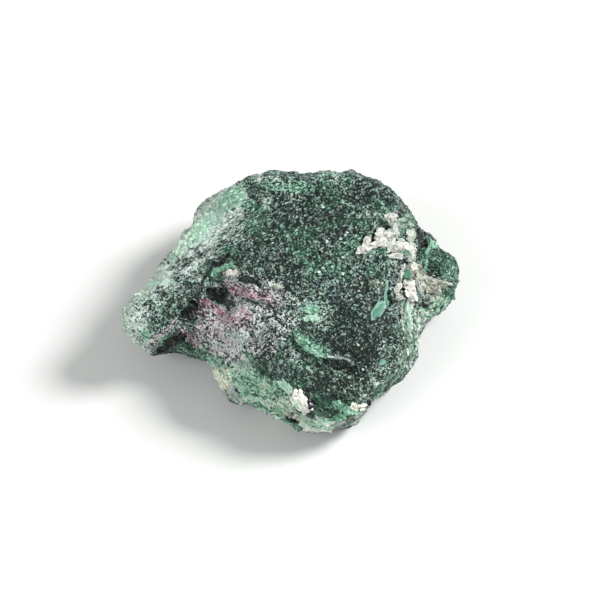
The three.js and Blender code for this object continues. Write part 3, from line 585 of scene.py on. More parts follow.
FLAKE_BEDS = [
    # White crest
    Bed([(10.6, 7.9), (11.5, 7.9), (12.5, 8.5)], 0.32, 36, (0.25, 0.6), 1.6, WHITE_FLAKES[1:], 0.2, 0.2),
    Bed([(11.5, 8.2), (11.8, 9.0), (12.05, 9.8)], 0.28, 24, (0.25, 0.5), 1.6, WHITE_FLAKES[1:], 0.0, 0.2),
    Bed([(13.6, 10.5), (14.2, 10.8)], 0.35, 20, (0.25, 0.45), 1.4, WHITE_FLAKES[1:], 0.0, 0.2),
    Bed([(13.6, 9.7), (14.9, 9.8), (16.0, 10.4)], 0.6, 60, (0.3, 0.7), 1.4, WHITE_FLAKES, 0.1, 0.14),
    Bed([(14.9, 13.1), (16.2, 13.2)], 0.22, 22, (0.25, 0.5), 1.6, WHITE_FLAKES[1:], 0.0, 0.25),
    Bed([(15.2, 12.8), (15.9, 12.2), (16.1, 10.4)], 0.35, 40, (0.3, 0.6), 1.6, WHITE_FLAKES[:3], 0.0, 0.2),
    Bed([(16.3, 12.2), (17.5, 12.5)], 0.18, 18, (0.25, 0.5), 2.0, SAGE_FLAKES[1:3], 0.0, 0.15),
    Bed([(16.7, 12.0), (17.1, 11.0)], 0.25, 16, (0.3, 0.7), 1.8, GREY_FLAKES, 0.0, 0.12),
    Bed([(17.5, 11.5), (17.3, 10.6)], 0.22, 16, (0.25, 0.5), 2.4,
        (GREEN_FLAKES[2], MINT_FLAKES[1]), 0.0, 0.15),
    Bed([(17.9, 11.9), (18.9, 11.7)], 0.2, 10, (0.25, 0.5), 3.0, SAGE_FLAKES[1:], 0.0, 0.2),
    Bed([(18.6, 10.6), (18.5, 9.4)], 0.4, 26, (0.3, 0.7), 1.6, (BUFF_FLAKES[2], SAGE_FLAKES[2]), 0.0, 0.2),
    Bed([(12.4, 8.55), (14.0, 8.8), (16.0, 8.75), (19.0, 8.4)], 0.26, 60, (0.4, 0.9), 3.0,
        WHITE_FLAKES[1:], 0.5, 0.14),
    Bed([(15.4, 8.1), (19.0, 8.0)], 0.35, 40, (0.4, 0.9), 2.6, WHITE_FLAKES, 0.4, 0.14),
    Bed([(16.2, 8.7), (17.8, 8.5)], 0.2, 26, (0.3, 0.7), 2.4, WHITE_FLAKES[3:], 0.3, 0.1),
    Bed([(16.9, 9.5), (17.5, 9.4)], 0.2, 10, (0.25, 0.5), 2.4, SAGE_FLAKES[2:], 0.3, 0.1),
    Bed([(15.6, 7.1), (17.0, 6.9)], 0.24, 22, (0.3, 0.7), 2.6, WHITE_FLAKES, 0.5, 0.2),
    Bed([(17.3, 7.5), (18.3, 7.1)], 0.28, 16, (0.3, 0.6), 1.6, (GREEN_FLAKES[2], SAGE_FLAKES[1]), 0.1, 0.2),
    Bed([(18.8, 7.8), (18.9, 7.2), (18.5, 6.3)], 0.3, 28, (0.25, 0.5), 1.6, WHITE_FLAKES[:3], 0.2, 0.25),
    # Rib below the crest
    Bed([(17.6, 5.4), (17.2, 4.3), (17.05, 3.0)], 0.06, 30, (0.25, 0.5), 3.0, WHITE_FLAKES[1:], 0.0, 0.2),
    Bed([(16.9, 2.5), (16.4, 1.5)], 0.22, 24, (0.25, 0.5), 1.4, BUFF_FLAKES[2:], 0.0, 0.2),
    Bed([(16.5, 0.8), (17.6, 0.2)], 0.35, 12, (0.2, 0.4), 1.6, BUFF_FLAKES[1:], 0.0, 0.3),
    Bed([(18.4, 2.8), (18.6, 1.6), (18.9, 0.4)], 0.45, 60, (0.3, 0.8), 1.9, WHITE_FLAKES[2:], 0.0, 0.1),
    Bed([(18.9, 0.2), (18.6, -1.2)], 0.3, 24, (0.3, 0.7), 2.2, GREY_FLAKES[1:], 0.0, 0.15),
    Bed([(18.1, -0.8), (18.3, -2.4), (18.5, -4.3)], 0.2, 40, (0.3, 0.7), 2.6, MINT_FLAKES[2:], 0.0, 0.2),
    Bed([(17.7, -1.0), (18.0, -4.5), (18.4, -7.8)], 0.6, 70, (0.25, 0.7), 3.6, SAGE_FLAKES, 0.1, 0.25),
    Bed([(19.4, -2.6), (19.6, -7.0)], 0.4, 36, (0.25, 0.6), 3.0, SAGE_FLAKES, 0.1, 0.25),
    # Lobe on the right
    Bed([(18.5, 5.2), (20.0, 5.2)], 0.35, 26, (0.3, 0.6), 1.5, BUFF_FLAKES[:3], 0.1, 0.15),
    Bed([(19.5, 4.2), (21.0, 2.9), (23.0, 2.0)], 0.7, 40, (0.4, 0.9), 1.6, BUFF_FLAKES[:3], 0.0, 0.05),
    Bed([(21.0, 1.8), (22.8, 1.2)], 0.4, 16, (0.4, 0.8), 1.8, BUFF_FLAKES[1:3], 0.0, 0.06),
    Bed([(19.6, 3.9), (20.8, 2.6), (22.8, 1.9)], 0.9, 50, (0.12, 0.3), 1.5, BUFF_FLAKES, 0.1, 0.12),
    Bed([(19.7, 2.5), (20.2, 0.9)], 0.3, 24, (0.3, 0.7), 2.4, GREY_FLAKES, 0.0, 0.14),
    Bed([(20.9, 3.7), (21.8, 3.4), (24.7, 2.6)], 0.06, 30, (0.3, 0.6), 4.0, WHITE_FLAKES[1:], 0.2, 0.15),
    Bed([(20.8, 0.8), (22.8, 0.4)], 0.25, 20, (0.3, 0.6), 3.6, GREY_FLAKES[1:], 0.1, 0.2),
    Bed([(20.0, -1.9), (22.0, -1.2), (24.2, 0.4)], 0.7, 84, (0.3, 0.8), 4.0, STREAKY_FLAKES[1:], 0.2, 0.25),
    Bed([(21.8, 0.2), (23.2, 0.2)], 0.3, 24, (0.3, 0.6), 3.0, SAGE_FLAKES[2:], 0.1, 0.2),
    Bed([(20.4, -0.9), (22.4, -1.1)], 0.4, 12, (0.3, 0.6), 3.0, GREEN_FLAKES[:2], 0.1, 0.25),
    Bed([(23.5, 0.2), (23.9, -0.1)], 0.05, 3, (0.3, 0.45), 1.6, WHITE_FLAKES[2:], 0.0, 0.1),
    Bed([(23.8, 1.9), (24.8, 0.6)], 0.4, 30, (0.3, 0.7), 2.8, GREEN_FLAKES[1:], 0.1, 0.3),
    Bed([(21.3, 8.3), (21.0, 7.3)], 0.15, 12, (0.25, 0.5), 1.8, MINT_FLAKES[1:3], 0.0, 0.2),
    Bed([(21.0, 6.8), (20.9, 4.9)], 0.12, 18, (0.25, 0.6), 2.4, MINT_FLAKES[1:3], 0.0, 0.2),
    Bed([(21.5, 8.9), (22.5, 8.5)], 0.3, 20, (0.2, 0.5), 1.5, MINT_FLAKES[1:], 0.0, 0.3),
    Bed([(22.0, 7.2), (24.4, 5.0)], 1.4, 50, (0.15, 0.45), 3.6, GREEN_FLAKES[1:], 0.0, 0.3),
    # Skirt at the front left
    Bed([(-11.9, -10.6), (-11.0, -11.8), (-9.8, -13.6)], 0.7, 205, (0.12, 0.32), 1.6,
        CREAM_FLAKES[1:], 0.0, 0.35),
    Bed([(-10.2, -10.2), (-9.2, -12.6)], 0.5, 50, (0.12, 0.3), 1.6, CREAM_FLAKES, 0.0, 0.35),
    Bed([(-8.6, -9.9), (-6.2, -10.6)], 0.6, 40, (0.12, 0.35), 1.8, SAGE_FLAKES[2:], 0.1, 0.35),
    Bed([(-8.2, -11.4), (-5.4, -12.2), (-1.6, -13.8)], 1.3, 250, (0.12, 0.36), 2.2, MINT_FLAKES, 0.2, 0.35),
    Bed([(-9.2, -12.6), (-8.8, -14.6), (-7.2, -15.4)], 0.6, 80, (0.2, 0.5), 2.0, GREY_FLAKES[1:], 0.2, 0.3),
    Bed([(-7.6, -14.2), (-4.6, -15.6), (-1.2, -17.4)], 0.8, 150, (0.3, 0.9), 4.5,
        STREAKY_FLAKES[1:], 0.5, 0.2),
    Bed([(-4.4, -12.6), (-2.0, -15.6)], 0.9, 80, (0.3, 0.8), 4.0, STREAKY_FLAKES[2:], 0.2, 0.25),
    # Near-black slits in this bed and the next four: painted shade in the cracks
    Bed([(-3.9, -13.6), (-2.4, -16.2)], 0.7, 16, (0.3, 0.7), 5.0, SHADE_SLIT_FLAKES, 0.2, 0.2),
    Bed([(-2.5, -14.0), (-1.9, -15.2)], 0.3, 14, (0.3, 0.6), 4.0, SHADE_SLIT_FLAKES, 0.1, 0.2),
    Bed([(-5.6, -16.1), (-5.0, -16.3)], 0.1, 5, (0.2, 0.4), 3.0, SHADE_SLIT_FLAKES, 0.4, 0.15),
    Bed([(-2.2, -17.4), (-1.8, -17.6)], 0.1, 5, (0.2, 0.4), 3.0, SHADE_SLIT_FLAKES, 0.4, 0.15),
    Bed([(-0.5, -17.9), (0.7, -18.5)], 0.16, 12, (0.25, 0.5), 3.0, SHADE_SLIT_FLAKES, 0.4, 0.2),
    Bed([(-0.9, -18.4), (1.4, -19.6)], 0.3, 34, (0.3, 0.7), 3.6, MINT_FLAKES[:3], 0.4, 0.2),
    # A near-black slit: painted shade in a crack
    Bed([(-7.9, -14.1), (-7.7, -14.4)], 0.06, 4, (0.2, 0.3), 2.0, SHADE_SLIT_FLAKES, 0.2, 0.1),
    Bed([(-1.8, -15.0), (0.2, -16.8)], 0.8, 62, (0.25, 0.7), 2.4, SAGE_FLAKES[1:], 0.0, 0.2),
    Bed([(-1.2, -12.4), (0.2, -14.2)], 0.5, 50, (0.2, 0.5), 1.8, MINT_FLAKES[2:], 0.0, 0.25),
    # Plates and edges along the foot
    Bed([(-0.6, -17.2), (2.0, -18.0)], 0.25, 20, (0.3, 0.7), 3.0, BUFF_FLAKES[:3], 0.5, 0.25),
    Bed([(2.0, -17.9), (3.4, -18.8)], 0.6, 50, (0.3, 0.7), 1.6, SAGE_FLAKES[1:3], 0.1, 0.12),
    Bed([(3.8, -18.35), (6.6, -18.9)], 0.7, 84, (0.25, 0.6), 2.6, MINT_FLAKES[2:], 0.2, 0.2),
    Bed([(4.0, -17.1), (6.0, -17.4)], 0.35, 24, (0.2, 0.5), 2.4, GREEN_FLAKES[1:], 0.2, 0.25),
    Bed([(4.8, -19.6), (6.4, -19.8)], 0.2, 20, (0.3, 0.6), 2.6, SAGE_FLAKES[2:], 0.2, 0.2),
    Bed([(1.8, -18.8), (3.0, -19.6)], 0.25, 14, (0.25, 0.5), 2.0, SAGE_FLAKES[2:], 0.0, 0.2),
    Bed([(4.0, -18.4), (5.8, -18.9)], 0.15, 16, (0.3, 0.6), 3.0, CREAM_FLAKES[2:], 0.2, 0.25),
    Bed([(2.4, -19.6), (5.4, -19.7)], 0.3, 34, (0.3, 0.7), 3.0, (GREY_FLAKES[2], SAGE_FLAKES[3]), 0.4, 0.2),
    Bed([(4.4, -15.4), (7.4, -17.2)], 0.7, 50, (0.2, 0.6), 2.4, GREEN_FLAKES, 0.4, 0.35),
    # Near-black slits: painted shade in the cracks
    Bed([(5.0, -16.6), (6.6, -17.6)], 0.4, 24, (0.2, 0.5), 3.0, SHADE_SLIT_FLAKES, 0.4, 0.3),
    Bed([(6.8, -15.5), (8.2, -16.8)], 0.7, 56, (0.15, 0.4), 1.8, MINT_FLAKES[1:3], 0.2, 0.35),
    Bed([(8.6, -16.6), (10.6, -17.0)], 0.5, 50, (0.2, 0.5), 1.8, MINT_FLAKES[1:], 0.2, 0.3),
    Bed([(6.4, -18.0), (9.0, -17.6)], 0.5, 40, (0.2, 0.6), 2.6, MINT_FLAKES[:3], 0.6, 0.3),
    Bed([(10.4, -17.8), (12.4, -16.4)], 0.3, 40, (0.3, 0.6), 2.6, GREY_FLAKES, 0.2, 0.15),
    Bed([(6.6, -19.2), (9.6, -18.5), (12.2, -17.2)], 0.45, 60, (0.3, 0.6), 2.6, GREY_FLAKES, 0.4, 0.2),
    # Near-black slits: painted shade in the cracks
    Bed([(12.1, -15.4), (12.5, -16.4)], 0.25, 16, (0.3, 0.6), 4.0, SHADE_SLIT_FLAKES, 0.4, 0.2),
    Bed([(12.9, -15.0), (14.5, -13.2), (16.6, -10.7), (18.1, -8.3)], 0.7, 60, (0.3, 0.8), 3.0,
        (GREEN_FLAKES[1], SAGE_FLAKES[1]), 0.5, 0.3),
    Bed([(3.0, -11.0), (9.0, -12.6), (11.0, -14.0)], 1.8, 60, (0.12, 0.35), 3.0, SAGE_FLAKES[:3], 0.4, 0.4),
    # Ledge and the square patch above it
    Bed([(1.4, -6.4), (4.3, -8.2), (6.2, -8.6)], 0.15, 34, (0.15, 0.4), 1.8, MINT_FLAKES[1:], 0.6, 0.4),
    Bed([(6.0, -8.5), (6.6, -8.7)], 0.1, 8, (0.15, 0.3), 1.8, SAGE_FLAKES[2:], 0.4, 0.3),
    Bed([(6.8, -8.7), (8.2, -8.7), (9.4, -9.2), (10.2, -9.9)], 0.1, 26, (0.15, 0.4), 2.4,
        GREY_FLAKES, 0.4, 0.3),
    Bed([(1.4, -5.6), (2.8, -7.0), (4.8, -7.9)], 0.7, 60, (0.2, 0.5), 1.8, MINT_FLAKES, 0.1, 0.3),
    Bed([(2.3, -1.3), (4.3, -1.3)], 0.4, 24, (0.2, 0.5), 1.3, MINT_FLAKES[1:3], 0.1, 0.15),
    Bed([(2.3, -2.6), (4.3, -2.6)], 0.4, 20, (0.2, 0.5), 1.3, MINT_FLAKES[2:], 0.1, 0.15),
    # Upper left rim, nose and the lumps by the hollow
    Bed([(-17.6, 7.2), (-16.2, 8.8), (-15.6, 9.8)], 1.0, 160, (0.12, 0.36), 1.5,
        (SAGE_FLAKES[2], MINT_FLAKES[3]), 0.0, 0.3),
    Bed([(-14.8, 9.8), (-13.2, 12.0)], 1.0, 110, (0.12, 0.36), 1.4, MINT_FLAKES[2:], 0.0, 0.3),
    Bed([(12.8, -2.4), (12.9, -1.0), (14.2, 0.0), (15.1, -0.3), (14.4, -1.5), (13.6, -2.3)], 0.12, 24,
        (0.15, 0.3), 1.6, LEAF_RIM, 0.0, 0.1),
    Bed([(-14.2, 12.0), (-13.2, 14.0), (-11.0, 15.6)], 0.7, 50, (0.12, 0.36), 1.5,
        SAGE_FLAKES[1:], 0.0, 0.4),
    Bed([(-10.6, 14.4), (-9.0, 16.0), (-7.4, 17.0)], 1.1, 100, (0.12, 0.36), 1.6,
        MINT_FLAKES[1:], 0.0, 0.4),
    Bed([(-24.0, 1.0), (-21.6, 1.6)], 0.7, 70, (0.12, 0.32), 1.6, SAGE_FLAKES[1:], 0.1, 0.35),
    Bed([(-22.2, 2.6), (-20.0, 4.8)], 0.4, 50, (0.12, 0.35), 1.6, SAGE_FLAKES[1:], 0.1, 0.35),
    Bed([(-25.7, -1.2), (-25.0, -5.0), (-22.9, -7.4)], 0.6, 140, (0.12, 0.36), 1.8,
        SAGE_FLAKES[1:], 0.0, 0.3),
    Bed([(-12.0, 4.2), (-10.5, 5.1), (-8.9, 5.5)], 0.35, 36, (0.2, 0.5), 1.5, MINT_FLAKES[1:3], 0.0, 0.35),
    Bed([(-14.0, 3.1), (-12.7, 3.6)], 0.3, 22, (0.15, 0.35), 1.5, SAGE_FLAKES[2:], 0.0, 0.3),
    Bed([(-9.6, 4.3), (-8.1, 4.4)], 0.3, 34, (0.2, 0.4), 1.2, WHITE_FLAKES[2:], 0.0, 0.3),
    Bed([(-2.3, 2.5), (-1.5, 2.1)], 0.25, 10, (0.15, 0.3), 1.3, SAGE_FLAKES[1:], 0.0, 0.4),
    # Single grains of fuchsite over the top
    Bed([(-5.0, 10.0), (12.0, 11.0)], 7.0, 34, (0.12, 0.26), 1.3, MINT_FLAKES[1:], 0.0, 0.2),
    Bed([(-1.0, 3.0), (14.0, 0.0)], 5.0, 20, (0.12, 0.24), 1.3, SAGE_FLAKES[1:], 0.0, 0.2),
    Bed([(10.0, -8.0), (15.0, -9.0)], 3.0, 14, (0.12, 0.24), 1.4, SAGE_FLAKES[1:], 0.0, 0.2),
]

# Single flakes: where, half length and half width, the heading of the long side in the photograph's plane,
# and their colours
SINGLE_FLAKES = [
    ((13.7, -1.45), 1.75, 0.85, 50, LEAF_RIM),
    ((15.0, -0.4), 0.55, 0.3, 75, LEAF_RIM),
    ((14.75, 0.6), 0.8, 0.28, 92, LEAF_RIM),
    ((14.85, 1.8), 0.8, 0.26, 86, LEAF_RIM),
    ((14.95, 2.7), 0.45, 0.18, 100, LEAF_RIM),
    ((14.6, 3.2), 0.4, 0.16, 150, LEAF_RIM),
    ((14.2, -9.4), 0.7, 0.42, 20, LEAF_RIM),
    ((-19.3, 2.8), 0.9, 0.65, 10, MINT_FLAKES[3:]),
    ((-21.2, 2.6), 0.8, 0.4, 20, MINT_FLAKES[2:]),
    ((18.1, 3.7), 1.05, 0.5, 84, LEAF_GREEN),
    ((18.0, 2.7), 0.5, 0.32, 84, LEAF_GREEN),
]
LEAF_HEART = ((13.6, -1.55), 1.35, 0.55, 50, LEAF_GREEN)

# Bright cleavage faces of mica that mirror the lamp, and dark ones beside them. The bright faces' near-white
# colour partly paints the highlight as well
GLINT_BEDS = [
    Bed([(0.9, -14.4), (1.9, -15.5), (2.8, -16.7)], 0.8, 112, (0.2, 0.5), 1.2, CREAM_FLAKES[3:], 0.0, 0.08),
    Bed([(0.8, -15.1), (1.6, -15.7)], 0.35, 20, (0.2, 0.45), 1.2, MINT_FLAKES[3:], 0.0, 0.08),
    Bed([(0.6, -14.2), (1.3, -13.9)], 0.2, 8, (0.2, 0.4), 1.4, WHITE_FLAKES[2:], 0.0, 0.1),
    Bed([(9.4, -16.2), (11.4, -16.2)], 0.45, 40, (0.18, 0.4), 1.5, CREAM_FLAKES[2:], 0.0, 0.1),
]
DUSKY_BEDS = [
    Bed([(3.1, -15.4), (3.4, -16.3)], 0.16, 10, (0.25, 0.45), 1.6, VIOLET_FLAKES, 0.0, 0.1),
    Bed([(3.1, -17.3), (3.5, -17.7)], 0.12, 6, (0.25, 0.4), 1.5, SLATE_FLAKES, 0.0, 0.1),
]

# Camera, floor and light
KEY_HEADING = math.radians(14)
KEY_ELEVATION = math.radians(44)
KEY_DISTANCE = 0.6
KEY_SIZE = 0.22
KEY_POWER = 3.6
FILL_HEADING = math.radians(215)
FILL_ELEVATION = math.radians(35)
FILL_DISTANCE = 0.7
FILL_SIZE = 0.5
FILL_POWER = 1.9
SKY_STRENGTH = 0.33
SKY_COLOUR = (0.97, 1, 0.98, 1)
FLOOR_SIZE = 3.0

# Speckle of the schist: grains per metre and how wavy their edges are, in metres
FINE_GRAINS = 4200.0
FINE_WAVINESS = 0.0003
COARSE_GRAINS = 2000.0
COARSE_WAVINESS = 0.0005

# What the fine grains, the coarse grains and the clouds add to the tone
FINE_SHARE = 0.62
COARSE_SHARE = 0.26
CLOUD_SHARE = 0.12

# How much contrast pepper and blush add to the speckle, and how much haze takes from it and from the grains
PEPPER_CONTRAST = 0.4
HAZE_CALM = 0.55
HAZE_GRAIN_CALM = 0.6

# Levels between which a grain turns from dark to pale, and how pale beds move them
DARK_LEVEL = 0.29
PALE_LEVEL = 0.75
DARK_LEVEL_MOVE = 0.12
PALE_LEVEL_MOVE = -0.05

# How strong the brown and the grey cast of the schist are
UMBER_SHARE = 0.55
SLATE_SHARE = 0.6

# Half the softness of the choice of single grains inside a mineral's patch
CHOICE_EDGE = 0.06

# Shine of the schist and of the small pieces
SCHIST_SPECULAR = 0.38
SCHIST_ROUGHNESS = (0.3, 0.7)
GLITTER_AMOUNT = 0.7
MICA_ROUGHNESS = 0.35
GLINT_ROUGHNESS = 0.18
GRAIN_ROUGHNESS = 0.4


def unit(vectors):
    """Each row made one long."""
    return vectors / np.linalg.norm(vectors, axis=-1, keepdims=True)


def smooth_step(low, high, value):
    """0 below low, 1 above high, and a smooth rise between them."""
    part = np.clip((value - low) / (high - low), 0.0, 1.0)
    return part * part * (3 - 2 * part)


def seen(points):
    """Across and up in the photograph's plane, in mm from the stone's middle, of points in mm."""
    from_middle = points - MIDDLE
    nearing = EYE_DISTANCE / (EYE_DISTANCE + from_middle @ AHEAD)
    return np.stack([from_middle @ RIGHTWARD * nearing, from_middle @ UPWARD * nearing], axis=1)


def lumps(points, size, seed):
    """A smooth random height between about -1 and 1 at each point, in lumps of that size in mm."""
    shift = Vector((7.31, 3.17, 5.73)) * seed
    return np.array([noise.noise(Vector(place) + shift) for place in (points / size).tolist()])


def rough_lumps(points, size, seed, octaves):
    """Like lumps, with finer lumps on the larger ones."""
    shift = Vector((4.13, 8.71, 2.39)) * seed
    places = (points / size).tolist()
    return np.array([noise.fractal(Vector(place) + shift, 1.0, 2.0, octaves) for place in places])


def chips(points, size, seed):
    """Flat facets of that size in mm, each tilted its own way: each point's height, as a share of size."""
    shift = Vector((2.71, 6.43, 9.17)) * seed
    heights = np.empty(len(points))
    for number, place in enumerate((points / size).tolist()):
        spot = Vector(place) + shift
        centre = noise.voronoi(spot)[1][0]
        heights[number] = (spot - centre).dot(noise.cell_vector(centre * 37))
    return heights


def distance_to_line(spots, line):
    """Distance in mm from each spot to a line of straight stretches in the photograph's plane."""
    nearest = np.full(len(spots), np.inf)
    for start, end in zip(line[:-1], line[1:]):
        start, along = np.array(start), np.array(end) - np.array(start)
        share = np.clip((spots - start) @ along / (along @ along), 0.0, 1.0)
        nearest = np.minimum(nearest, np.linalg.norm(spots - start - share[:, None] * along, axis=1))
    return nearest


def covered(spots, places, soft):
    """How strongly the places show at each spot, each with an edge of that softness in mm."""
    cover = np.zeros(len(spots))
    for line, half_width, strength in places:
        away = distance_to_line(spots, line)
        cover = np.maximum(cover, strength * (1 - smooth_step(half_width - soft, half_width + soft, away)))
    return cover


def added(spots, places, soft):
    """The strengths of all the places at each spot, added up."""
    total = np.zeros(len(spots))
    for line, half_width, strength in places:
        away = distance_to_line(spots, line)
        total += strength * (1 - smooth_step(half_width - soft, half_width + soft, away))
    return total


def summed(pattern, points, layers):
    """A pattern in several layers, each with its size in mm, its seed and its height, added up."""
    return sum(height * pattern(points, size, seed) for size, seed, height in layers)


def strayed(points, spots):
    """The spots moved a little at random, so that what is drawn on them has a ragged edge."""
    coarse = np.stack([lumps(points, 1.7, 11), lumps(points, 1.7, 12)], axis=1)
    fine = np.stack([lumps(points, 0.5, 13), lumps(points, 0.5, 14)], axis=1)
    return spots + COARSE_STRAY * coarse + FINE_STRAY * fine


def ledge(spots):
    """How far each spot has dropped below the broken edge, from 0 to 1, and how much it lies on the edge."""
    across, up = np.array(LEDGE).T
    below = np.interp(spots[:, 0], across, up) - spots[:, 1]
    along = smooth_step(across[0] - LEDGE_FADE, across[0] + LEDGE_FADE, spots[:, 0])
    along *= 1 - smooth_step(across[-1] - LEDGE_FADE, across[-1] + LEDGE_FADE, spots[:, 0])
    drop = along * smooth_step(0.0, LEDGE_STEP, below) * np.exp(-np.clip(below, 0, None) / LEDGE_REACH)
    edge = along * (1 - smooth_step(*LIP_FADE, np.abs(below + LIP_RISE)))
    return drop, edge


def fabric(spots):
    """The direction in which the grains lie at each spot, one long, or nothing where they lie every way."""
    directions = np.zeros((len(spots), 3))
    for line, half_width, degrees in FABRIC:
        inside = distance_to_line(spots, line) < half_width
        turn = math.radians(degrees)
        directions[inside] = RIGHTWARD * math.cos(turn) + UPWARD * math.sin(turn)
    return directions


def mineral_cover(points, normals):
    """How much each mineral and the painted shade of the hollows show at each point, by its attribute's name,
    and how pale the grains are.
    """
    facing = smooth_step(0.05, 0.3, -normals @ AHEAD)
    hidden = 1 - facing
    spots = strayed(points, seen(points))
    patches = lumps(points, 5.5, 21) + 0.35 * lumps(points, 1.6, 22)
    clouds = summed(lumps, points, CLOUDS)
    drop, edge = ledge(spots)
    # The tones carry painted light and shade as well as the rock's own tone
    pale = PALE_BASE + clouds + facing * added(spots, TONES_AND_PAINTED_LIGHT, TONE_EDGE)
    pale += PALE_HIDDEN * hidden * smooth_step(0, 0.6, -patches)
    # Paler grains on the lip of the ledge, and painted shade on the face below it
    pale += PALE_LIP * edge * facing - LEDGE_SHADE * drop * facing
    moss = facing * covered(spots, MOSS_BEDS, BROAD_EDGE)
    moss += 0.4 * smooth_step(-0.1, 0.5, lumps(points, 2.4, 25))
    scratched = covered(spots, SCRATCHES, SHARP_EDGE) * facing
    pale += PALE_SCRATCH * scratched
    green = np.maximum(covered(spots, FUCHSITE_PATCHES, PATCH_EDGE) * facing, scratched)
    buff = covered(spots, BUFF_BEDS, PATCH_EDGE) * facing
    return {
        "pale": pale,
        "moss": np.clip(moss, 0, 1),
        "salt": covered(spots, SALT_BEDS, SPECKLE_EDGE) * facing,
        "haze": covered(spots, HAZE_BEDS, SPECKLE_EDGE) * facing,
        "ruby": covered(spots, RUBY_STREAKS, PATCH_EDGE) * facing,
        "blush": covered(spots, RUBY_BLUSH, SPECKLE_EDGE) * facing,
        "fuchsite": np.maximum(green + 0.5 * edge * facing, 0.7 * hidden * smooth_step(0.12, 0.4, patches)),
        "mica": covered(spots, WHITE_BEDS, WHITE_EDGE) * facing,
        "buff": np.maximum(buff, 0.7 * hidden * smooth_step(0.35, 0.6, -patches)),
        # Painted shade of the hollows and clefts
        "shade": covered(spots, SHADED_CLEFTS, DARK_EDGE) * facing,
    }


def broken_layers(points, pitch, depth, seed):
    """How far each thin layer of the schist stands out at its edge, in mm: each breaks at its own depth."""
    height = points @ LAYER_AXIS + 0.45 * lumps(points, 5.0, seed) + 0.12 * lumps(points, 1.4, seed + 1)
    layer = height / pitch
    number = np.floor(layer)
    place = np.stack([points[:, 0] / (4 * pitch), points[:, 1] / (4 * pitch), number * 3.7], axis=1)
    standing = lumps(place, 1.0, seed + 2)
    rounding = np.abs(2 * (layer - number) - 1) ** 4
    return depth * (1.3 * standing - 0.5 * rounding)


def terraces(points, seed):
    """Thin flakes broken off the flat faces, as treads with sharp risers, in mm."""
    level = 2.6 * lumps(points, 4.2, seed) + 0.7 * lumps(points, 1.2, seed + 1)
    riser = smooth_step(0.82, 0.98, level - np.floor(level))
    return TREAD_HEIGHT * (np.floor(level) + riser - level)


def relief(points, normals, cover):
    """How far the surface stands out from the plain solid at each point, in mm."""
    steep = smooth_step(0.25, 0.7, 1 - np.abs(normals @ LAYER_AXIS))
    rise = SWELL_HEIGHT * rough_lumps(points, 3.4, 32, 3)
    rise += steep * sum(broken_layers(points, *layer) for layer in BROKEN_LAYERS)
    rise += (1 - 0.6 * steep) * terraces(points, 31)
    rise += summed(chips, points, CHIPS)
    rise += summed(lumps, points, GRIT)
    pitted = smooth_step(-0.1, 0.4, lumps(points, 5.0, 54))
    rise -= PIT_DEPTH * pitted * smooth_step(0.3, 0.6, lumps(points, 1.1, 53))
    spots = seen(points)
    rise += added(spots, BULGES, BROAD_EDGE)
    drop, edge = ledge(strayed(points, spots))
    rise += LIP_HEIGHT * edge - LEDGE_DROP * drop
    rise += MICA_RISE * cover["mica"] * (0.8 + lumps(points, 0.8, 55))
    rise += FUCHSITE_RISE * cover["fuchsite"] + BUFF_RISE * cover["buff"] * lumps(points, 0.7, 56)
    rise += RUBY_RISE * cover["ruby"] + PALE_RISE * cover["pale"] * lumps(points, 0.4, 57)
    rise -= SHADE_DEPTH * cover["shade"] * (0.7 + 0.5 * lumps(points, 0.7, 58))
    return rise * smooth_step(0.0, FOOT_HEIGHT, points[:, 2])


def read_points(mesh):
    """Places in mm and directions of a mesh's points, one row each."""
    places = np.empty(len(mesh.vertices) * 3)
    mesh.vertices.foreach_get("co", places)
    directions = np.empty(len(mesh.vertices) * 3)
    mesh.vertex_normals.foreach_get("vector", directions)
    return places.reshape(-1, 3) / MM, directions.reshape(-1, 3)


def baked_with(piece, name, kind, **settings):
    """The piece's mesh is replaced by what one modifier makes of it."""
    modifier = piece.modifiers.new(name, kind)
    for setting, value in settings.items():
        setattr(modifier, setting, value)
    shaped = bpy.data.meshes.new_from_object(piece.evaluated_get(bpy.context.evaluated_depsgraph_get()))
    piece.modifiers.clear()
    piece.data = shaped


def new_object(name, data):
    """An object in the scene that holds this mesh, lamp or camera."""
    made = bpy.data.objects.new(name, data)
    bpy.context.scene.collection.objects.link(made)
    return made


def store(mesh, name, kind, field, values):
    """Keeps one value for each point of a mesh, in an attribute of that name and kind."""
    attribute = mesh.attributes.new(name, kind, "POINT")
    attribute.data.foreach_set(field, values.astype(np.float32).ravel())


def mesh_of(shape, name):
    """A finished bmesh as a mesh."""
    mesh = bpy.data.meshes.new(name)
    shape.to_mesh(mesh)
    shape.free()
    return mesh


def lay_map(piece):
    """Gives the piece its own flat map, while its faces are still few and smooth."""
    bpy.ops.object.select_all(action="DESELECT")
    piece.select_set(True)
    bpy.context.view_layer.objects.active = piece
    bpy.ops.object.mode_set(mode="EDIT")
    bpy.ops.mesh.select_all(action="SELECT")
    bpy.ops.uv.smart_project(angle_limit=math.radians(75), island_margin=0.01)
    bpy.ops.object.mode_set(mode="OBJECT")


